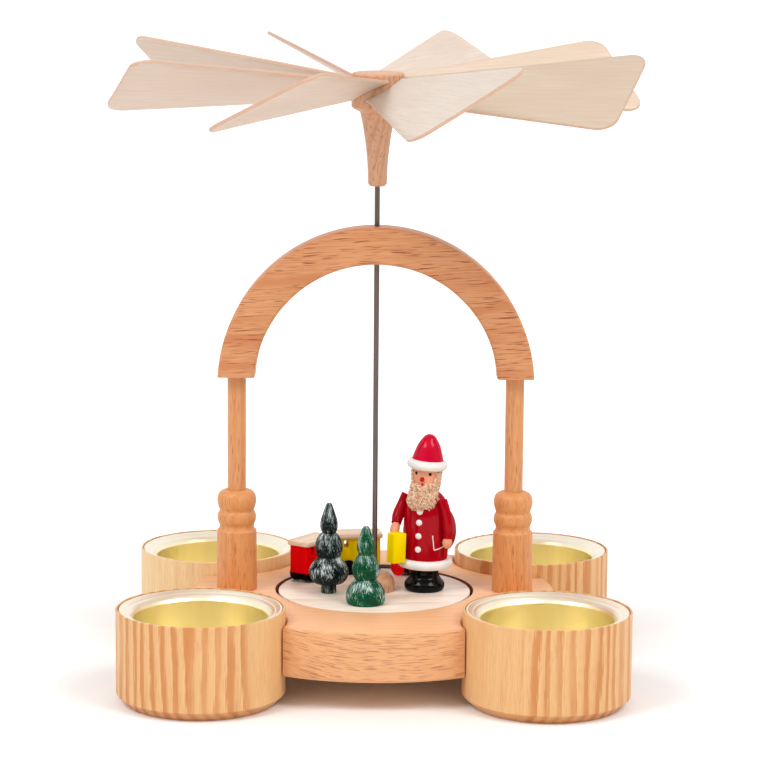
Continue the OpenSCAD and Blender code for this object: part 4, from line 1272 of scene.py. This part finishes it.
    def parcel(self, place, yellow, coat):
        """Parcel in the right hand: a block with rounded edges."""
        low, high = coat - 0.6 * MM, coat + 8.6 * MM
        turn = Matrix.Rotation(math.radians(55), 4, "Z")
        spot = Matrix.Translation((-6.46 * MM, -8.68 * MM, 0))
        made = slab("figure_parcel_block", (2.35 * MM, 1.9 * MM), 0.3 * MM, edge_rows(low, high, 0.2 * MM),
                    place @ spot @ turn)
        settle(made, "rotor", yellow, "yellow_lacquer", "figure_parcel")


class PYRAMID_OT_figure_trim(bpy.types.Operator):
    """Painted trim of the figure: eyes, nose, mouth, buttons and a pocket line"""
    bl_idname = "pyramid.figure_trim"
    bl_label = "Figure trim"

    # Heights of the buttons, and degrees from the front and heights of the pocket line
    buttons_mm = (25.5, 22.2, 18.0, 13.8)
    pocket_line = ((36, 18.4), (38.5, 16.1), (41, 14.0), (47, 13.9), (63, 14.4), (86, 15.1))

    def execute(self, context):
        shape = context.scene.pyramid_figure
        tones = context.scene.pyramid_lacquers
        place = figure_place()
        seat = head_place()
        black = lacquer("eye_paint", tones.black, rough=0.15)
        red = lacquer("nose_paint", tones.nose_red, rough=0.3)
        white = lacquer("button_paint", tones.white, shade=0.95, rough=0.3, coat=0.6)
        brim = shape.brim
        face = np.array([(shape.cheek, 0), (shape.cheek, 1)])
        for name, way in (("right", math.radians(-32)), ("left", math.radians(32))):
            spot = on_surface(face, way, brim - 1.0 * MM, -0.2 * MM)
            made = dome("figure_eye_" + name, spot, way, shape.eye, 0.34 * MM, seat)
            settle(made, "rotor", black, "black_lacquer")
        spot = on_surface(face, 0.0, brim - 2.65 * MM, -0.1 * MM)
        nose = dome("figure_nose", spot, 0.0, 0.72 * MM, 1.1 * MM, seat)
        settle(nose, "rotor", red, "red_lacquer")
        mouth = dome("figure_mouth", (0.45 * MM, -5.6 * MM, brim - 3.95 * MM), 0.0, 0.42 * MM, 0.6 * MM, seat)
        settle(mouth, "rotor", red, "red_lacquer")
        coat = coat_profile()
        for i, height in enumerate(self.buttons_mm):
            spot = on_surface(coat, 0.0, height * MM, -0.12 * MM)
            made = dome(f"figure_button_{i + 1}", spot, 0.0, shape.button, 0.5 * MM, place)
            settle(made, "rotor", white, "white_lacquer")
        line = through(np.array(self.pocket_line) * (math.pi / 180, MM), 8)
        path = on_surface(coat, line[:, 0], line[:, 1], 0.02 * MM)
        stroke = carried(path, np.full(len(path), 0.17 * MM), 10, up=(0, 0.3, 1))
        made = skin("figure_pocket_line", stroke, ends=("flat", "flat"), matrix=place)
        settle(made, "rotor", white, "white_lacquer")
        return {"FINISHED"}


class PYRAMID_OT_beard(bpy.types.Operator):
    """Beard of curled wood shavings over a rough core"""
    bl_idname = "pyramid.beard"
    bl_label = "Beard"

    heights_mm = (24.2, 25.2, 27, 28.8, 31.6, 34, 37.9)
    radii_mm = (1.3, 2.6, 4.05, 4.45, 4.0, 4.1, 4.4)
    forward_mm = (3.2, 3.2, 3.2, 3.2, 2.5, 0.9, 0.1)

    def execute(self, context):
        shape = context.scene.pyramid_figure
        finish = shavings("shaving_finish", context.scene.pyramid_lacquers.shaving)
        place = head_place()
        core = skin("figure_beard_core", self.core(), ends=("flat", "flat"), matrix=place, sharp=70)
        # The core gets a low tint: painted shade, dark brown in the gaps between the curls.
        self.tint(core, np.full(len(core.data.vertices), 0.25))
        settle(core, "rotor", finish, "wood_shavings", "figure_beard")
        grids, shades = self.curls(shape)
        made = skin("figure_beard_curls", grids, ends=("flat", "flat"), matrix=place, sharp=60)
        self.tint(made, shades)
        settle(made, "rotor", finish, "wood_shavings")
        return {"FINISHED"}

    def tint(self, made, shades):
        """Writes a shade for each vertex."""
        layer = made.data.attributes.new("tint", "FLOAT", "POINT")
        layer.data.foreach_set("value", np.asarray(shades, np.float32))

    def surface(self, way, height, proud):
        """Point of the beard at a direction and a height: a round whose middle lies forward low down."""
        z = height / MM
        radius = np.interp(z, self.heights_mm, self.radii_mm) + proud / MM
        forward = np.interp(z, self.heights_mm, self.forward_mm)
        return np.stack([radius * np.sin(way), -forward - radius * np.cos(way), z + 0 * way], -1) * MM

    def top(self, way):
        """Upper edge of the beard: under the nose in the middle, up to the brim at the sides."""
        side = np.clip((np.abs(way) - 0.8) / 0.42, 0, 1)
        return (34.0 + 3.7 * side * side * (3 - 2 * side)) * MM

    def core(self):
        """Grid of the core: at each height a front arc and a back arc, which meet at the upper edge."""
        share = np.linspace(0, 1, 24)[:, None]
        way = np.linspace(-BEARD_REACH, BEARD_REACH, 37)
        low = self.heights_mm[0] * MM
        front = self.surface(way + 0 * share, low + share * (self.top(way) - low), -0.25 * MM)
        back_way = way[::-1]
        thin = 0.25 * MM + (1 - share) * 1.2 * MM
        back = self.surface(back_way + 0 * share, low + share * (self.top(back_way) - low), -0.25 * MM)
        inwards = np.stack([-np.sin(back_way), np.cos(back_way), 0 * back_way], -1)
        return np.concatenate([front, back + thin[..., None] * inwards], 1)

    def curls(self, shape):
        """Stack of curl grids: a thin oblong section carried round a helix at a random place and slant.

        A point of a curl is its middle, plus the helix's radius times a turning direction, plus the way along
        the helix's axis. The section is wide along that axis and thin across it.
        """
        draw = np.random.default_rng(11)
        way = draw.uniform(-BEARD_REACH, BEARD_REACH, 4 * shape.curls)
        low = self.heights_mm[0] * MM
        height = low + draw.uniform(0.02, 1.0, len(way)) * (37.7 * MM - low)
        radius = np.interp(height / MM, self.heights_mm, self.radii_mm)
        keep = (height < self.top(way)) & (draw.uniform(0, BEARD_WIDEST, len(way)) < radius)
        way, height = way[keep][:shape.curls], height[keep][:shape.curls]
        count = len(way)
        middle_point = self.surface(way, height, draw.uniform(-0.05, 0.3, count) * MM)
        axis = draw.normal(size=(count, 3))
        axis /= np.linalg.norm(axis, axis=1, keepdims=True)
        first = np.cross(axis, draw.normal(size=(count, 3)))
        first /= np.linalg.norm(first, axis=1, keepdims=True)
        second = np.cross(axis, first)
        rings = 11
        t = np.linspace(0, 1, rings)[None, :, None]
        turns = draw.uniform(0.7, 1.6, count)[:, None, None] * 2 * np.pi * t
        size = shape.curl * draw.uniform(0.55, 1.15, count)[:, None, None] * (0.6 + 0.5 * t)
        pitch = draw.uniform(0.2, 0.9, count)[:, None, None] * MM * (t - 0.5)
        out = np.cos(turns) * first[:, None] + np.sin(turns) * second[:, None]
        path = middle_point[:, None] + size * out + pitch * axis[:, None]
        wide = 0.16 * MM * np.sin(np.pi * (0.12 + 0.76 * t)) ** 0.5
        thin = 0.035 * MM
        section = ((1, 1), (1, -1), (-1, -1), (-1, 1))
        grids = np.stack([path + a * wide * axis[:, None] + b * thin * out for a, b in section], 2)
        return grids, np.repeat(1 - 0.5 * draw.uniform(0, 1, count) ** 3, rings * 4)


# Train

def vehicle_place(name, heading):
    """Matrix from a vehicle's own axes, X along the track, to the frame."""
    centre = middle(name + "_chassis")[0]
    return Matrix.Translation((centre[0], centre[1], 0)) @ Matrix.Rotation(heading, 4, "Z")


def walls(name, node, long, places, place, shape):
    """Pierced body in the place of a node, with a window at each of the places along it."""
    low, high = heights(node)
    half = (long / 2, shape.width / 2, (high - low) / 2)
    top = half[2] - shape.window_drop
    wide = shape.window_width / 2
    windows = [(x - wide, x + wide, top - shape.window_height, top) for x in places]
    return pierced(name, half, windows, place @ Matrix.Translation((0, 0, (low + high) / 2)), shape.edge)


def roof(node, long, place, heading, shape, **grain):
    """Roof board of pale wood that stands out past the body all round."""
    size = (long + 2 * ROOF_OVERHANG, shape.width + 2 * ROOF_OVERHANG)
    made = block(node + "_board", node, size, place, 0.3 * MM, 0.6 * MM)
    centre = tuple(middle(node)[0])
    finish = linden(node + "_wood", (0.96, 0.84, 0.72), centre=centre, turn=(0, 0, heading), **grain)
    settle(made, "rotor", finish, "linden", node)


def block(name, node, size, place, edge, corner):
    """Slab with rounded edges in the place of a block-shaped node of a vehicle."""
    low, high = heights(node)
    return slab(name, (size[0] / 2, size[1] / 2), corner, edge_rows(low, high, edge), place)


def chassis(name, long, place, shape, finish):
    """Chassis of a vehicle: a block a little longer and narrower than the body on it."""
    size = (long + 2 * CHASSIS_STEP, shape.width - 2 * CHASSIS_STEP)
    made = block(name + "_frame", name + "_chassis", size, place, shape.edge, 0.5 * MM)
    settle(made, "rotor", finish, "black_lacquer", name + "_chassis")


def wheel_set(name, node, place, shape, finish, slot):
    """Four wheels: a rim, a dished face and a hub, turned about the axle."""
    low, high = heights(node)
    radius = (high - low) / 2
    t = 0.45 * MM
    rows = eased([(0, -t, 0), (radius, -t, 0.15 * MM), (radius, t, 0.25 * MM), (0.72 * radius, t, 0.1 * MM),
                  (0.66 * radius, 0.6 * t, 0.1 * MM), (0.3 * radius, 0.6 * t, 0.1 * MM),
                  (0.26 * radius, 1.15 * t, 0.1 * MM), (0, 1.15 * t, 0)])
    gauge = shape.width / 2 + WHEEL_GAP
    for i, (x, side) in enumerate(((AXLE, 1), (AXLE, -1), (-AXLE, 1), (-AXLE, -1))):
        spot = Matrix.Translation((x, side * gauge, low + radius))
        face = spot @ Matrix.Rotation(-side * math.pi / 2, 4, "X")
        made = turned(f"{name}_{i + 1}", rows, columns=48, matrix=place @ face, sharp=50)
        settle(made, "rotor", finish, slot, *([node] if i == 0 else []))


class PYRAMID_OT_wagons(bpy.types.Operator):
    """Red and yellow wagon: pierced body, chassis, roof board and wheels"""
    bl_idname = "pyramid.wagons"
    bl_label = "Wagons"

    def execute(self, context):
        shape = context.scene.pyramid_train
        tones = context.scene.pyramid_lacquers
        black = lacquer("wagon_black_paint", tones.black, rough=0.45, coat=0.15, coat_rough=0.3)
        for name, heading, colour, slot in (
                ("red_wagon", shape.red_heading, tones.signal_red, "red_lacquer"),
                ("yellow_wagon", shape.yellow_heading, tones.ochre, "yellow_lacquer")):
            place = vehicle_place(name, heading)
            windows = (-shape.window_place, shape.window_place)
            made = walls(name + "_walls", name + "_body", shape.wagon, windows, place, shape)
            paint = lacquer(name + "_paint", colour, shade=0.78, rough=0.42, coat=0.15, coat_rough=0.3,
                            grain=0.06)
            settle(made, "rotor", paint, slot, name + "_body")
            chassis(name, shape.wagon, place, shape, black)
            roof(name + "_roof", shape.wagon, place, heading, shape, pith=(0.02, 0.05))
            wheel_set(name + "_wheel", name + "_wheels", place, shape, black, "black_lacquer")
        return {"FINISHED"}


class PYRAMID_OT_locomotive(bpy.types.Operator):
    """Locomotive: chassis, boiler with a front ring, cab, roof board, chimney and red wheels"""
    bl_idname = "pyramid.locomotive"
    bl_label = "Locomotive"

    def execute(self, context):
        shape = context.scene.pyramid_train
        tones = context.scene.pyramid_lacquers
        place = vehicle_place("loco", shape.loco_heading)
        black = lacquer("loco_black_paint", tones.black, rough=0.35, coat=0.3, coat_rough=0.2)
        red = lacquer("loco_red_paint", tones.signal_red, shade=0.8, rough=0.35, coat=0.25, coat_rough=0.15)
        green = lacquer("loco_green_paint", tones.green, shade=0.7, rough=0.3, coat=0.25, coat_rough=0.12)
        chassis("loco", shape.loco, place, shape, black)
        cab_place = place @ Matrix.Translation(((shape.cab - shape.loco) / 2, 0, 0))
        made = walls("loco_cab_walls", "loco_cab", shape.cab, (0.0,), cab_place, shape)
        settle(made, "rotor", red, "red_lacquer", "loco_cab")
        roof("loco_roof", shape.cab, cab_place, shape.loco_heading, shape)
        self.boiler(shape, place, green)
        self.chimney(shape, place, black)
        wheel_set("loco_wheel", "loco_wheels", place, shape, red, "red_lacquer")
        return {"FINISHED"}

    def boiler(self, shape, place, finish):
        """Boiler: a drum turned about the track's line, with a ring near its flat, rounded front."""
        high = heights("loco_boiler")[1]
        radius, edge = 2.6 * MM, 0.1 * MM
        groove = 0.93 * radius
        long = shape.loco - shape.cab
        rows = eased([(0, 0, 0), (radius, 0, 0), (radius, 0.8 * long, edge), (groove, 0.82 * long, edge),
                      (groove, 0.86 * long, edge), (radius, 0.88 * long, edge), (radius, long, 0.35 * MM),
                      (0.6 * radius, long, 0), (0, long, 0)])
        spot = Matrix.Translation((shape.loco / 2 - long, 0, high - radius))
        lying = spot @ Matrix.Rotation(math.pi / 2, 4, "Y")
        made = turned("loco_boiler_drum", rows, columns=64, matrix=place @ lying, sharp=50)
        settle(made, "rotor", finish, "green_lacquer", "loco_boiler")

    def chimney(self, shape, place, finish):
        """Chimney: a stem that flares to a cowl with a hollow top."""
        low, high = heights("loco_chimney")
        stem, cowl, hollow = 0.8 * MM, 1.2 * MM, high - 0.5 * MM
        rows = eased([(0, low, 0), (stem, low, 0), (stem, high - 1.4 * MM, 0.4 * MM),
                      (cowl, high - 0.9 * MM, 0.2 * MM), (cowl, high, 0.12 * MM), (stem, high, 0.1 * MM),
                      (0.7 * MM, hollow, 0), (0, hollow, 0)])
        made = turned("loco_chimney_stack", rows, (shape.loco / 2 - 2 * MM, 0, 0), columns=40, matrix=place,
                      sharp=50)
        settle(made, "rotor", finish, "black_lacquer", "loco_chimney")


# Stage

class PYRAMID_OT_stage(bpy.types.Operator):
    """Pale floor that sweeps up behind, white surroundings, two soft boxes and the camera"""
    bl_idname = "pyramid.stage"
    bl_label = "Stage"

    def execute(self, context):
        setup = context.scene.pyramid_stage
        self.camera(context, setup)
        self.floor(setup)
        self.world(context, setup)
        for side in (-1, 1):
            self.soft_box(setup, side)
        context.scene.view_settings.view_transform = "Standard"
        return {"FINISHED"}

    def camera(self, context, setup):
        """Camera before the object, pitched down and slightly rolled."""
        lens = bpy.data.cameras.new("camera")
        lens.lens = setup.lens
        lens.sensor_width = 36
        lens.shift_x, lens.shift_y = setup.shift
        made = bpy.data.objects.new("camera", lens)
        made.matrix_world = (Matrix.Translation((0, -setup.distance, setup.height))
                             @ Matrix.Rotation(math.pi / 2 - setup.pitch, 4, "X")
                             @ Matrix.Rotation(setup.roll, 4, "Z"))
        context.scene.collection.objects.link(made)
        context.scene.camera = made

    def floor(self, setup):
        """Floor and backdrop in one sheet: level, then a quarter round, then upright, the same at every X."""
        bow = np.linspace(0, np.pi / 2, 16)
        front, bend, side, top = -4.0, 1.6, 5.0, 4.0
        y = np.concatenate([[front], bend + FLOOR_BEND * np.sin(bow), [bend + FLOOR_BEND]])
        z = np.concatenate([[0.0], FLOOR_BEND * (1 - np.cos(bow)), [top]])
        x = np.array([-side, side])
        grid = np.stack([x[None] + 0 * y[:, None], y[:, None] + 0 * x, z[:, None] + 0 * x], -1)
        made = skin("floor_sheet", grid[:, ::-1], closed=(False, False))
        made.data.materials.append(self.floor_paper(setup))

    def floor_paper(self, setup):
        """Pale matt paper with the faintest mottle, which shows white away from the object's shadow."""
        made, tree, shader, place = blank("floor_paper")
        mottle = noise(tree, place, 60, 3)
        pale = blend(tree, mottle, setup.floor, tinted(setup.floor, (0.985,) * 3))
        surface_of(tree, shader, pale, spread(tree, mottle, 0.85, 0.95))
        shader.inputs["Specular IOR Level"].default_value = 0.1
        shader.inputs["Emission Color"].default_value = (1, 1, 1, 1)
        away = add(tree, "VectorMath", {0: place}, operation="LENGTH")[1]
        shown = product(tree, spread(tree, away, 0, setup.lift, 0.06, 0.24), self.seen(tree))
        tree.links.new(shown, shader.inputs["Emission Strength"])
        return made

    def seen(self, tree):
        """One for a ray that the camera, a reflection or clear matter sends."""
        rays = add(tree, "LightPath", {})
        seen = rays["Is Camera Ray"]
        for other in ("Is Glossy Ray", "Is Transmission Ray"):
            seen = add(tree, "Math", {0: seen, 1: rays[other]}, operation="MAXIMUM")[0]
        return seen

    def world(self, context, setup):
        """White surroundings: white to the camera, dim before the object in reflections, softer as light."""
        made = bpy.data.worlds.new("studio")
        made.use_nodes = True
        tree = made.node_tree
        back = tree.nodes["Background"]
        back.inputs["Color"].default_value = (1, 1, 1, 1)
        way = add(tree, "TexCoord", {})["Object"]
        behind = add(tree, "VectorMath", {0: way, 1: (0, 1, 0.9)}, operation="DOT_PRODUCT")[1]
        white = spread(tree, behind, 0.25, 1, -0.6, 0.1)
        camera = add(tree, "LightPath", {})["Is Camera Ray"]
        white = add(tree, "Math", {0: white, 1: camera}, operation="MAXIMUM")[0]
        shown = spread(tree, self.seen(tree), setup.sky, white)
        tree.links.new(shown, back.inputs["Strength"])
        context.scene.world = made

    def soft_box(self, setup, side):
        """Large soft box before the object, high to one side."""
        lamp = bpy.data.lights.new(f"soft_box_{'right' if side > 0 else 'left'}", "AREA")
        lamp.shape = "RECTANGLE"
        lamp.size, lamp.size_y = BOX_SIZE
        lamp.energy = setup.box_power
        made = bpy.data.objects.new(lamp.name, lamp)
        spot = Vector((side * BOX_SPOT[0], *BOX_SPOT[1:]))
        made.location = spot
        made.rotation_euler = (spot - Vector(BOX_AIM)).to_track_quat("Z", "Y").to_euler()
        bpy.context.scene.collection.objects.link(made)


class PYRAMID_PT_panel(bpy.types.Panel):
    """Lists the steps that build the candle pyramid"""
    bl_idname = "PYRAMID_PT_panel"
    bl_label = "Candle pyramid"
    bl_space_type = "VIEW_3D"
    bl_region_type = "UI"
    bl_category = "Pyramid"

    def draw(self, context):
        for step in STEPS:
            self.layout.operator(step.bl_idname)
        for name, group in GROUPS.items():
            box = self.layout.box()
            box.label(text=group.__doc__)
            for field in group.__annotations__:
                box.prop(getattr(context.scene, name), field)


STEPS = (PYRAMID_OT_stage, PYRAMID_OT_cups, PYRAMID_OT_inserts, PYRAMID_OT_base_plate, PYRAMID_OT_columns,
         PYRAMID_OT_arch, PYRAMID_OT_fittings, PYRAMID_OT_turntable, PYRAMID_OT_blades, PYRAMID_OT_trees,
         PYRAMID_OT_figure, PYRAMID_OT_figure_trim, PYRAMID_OT_beard, PYRAMID_OT_wagons,
         PYRAMID_OT_locomotive)


def register():
    for group in GROUPS.values():
        bpy.utils.register_class(group)
    for name, group in GROUPS.items():
        setattr(bpy.types.Scene, name, bpy.props.PointerProperty(type=group))
    for step in (*STEPS, PYRAMID_PT_panel):
        bpy.utils.register_class(step)


def unregister():
    for step in (PYRAMID_PT_panel, *reversed(STEPS)):
        bpy.utils.unregister_class(step)
    for name, group in GROUPS.items():
        delattr(bpy.types.Scene, name)
        bpy.utils.unregister_class(group)


def main():
    register()
    for step in STEPS:
        group, name = step.bl_idname.split(".")
        getattr(getattr(bpy.ops, group), name)()


if __name__ == "__main__":
    main()
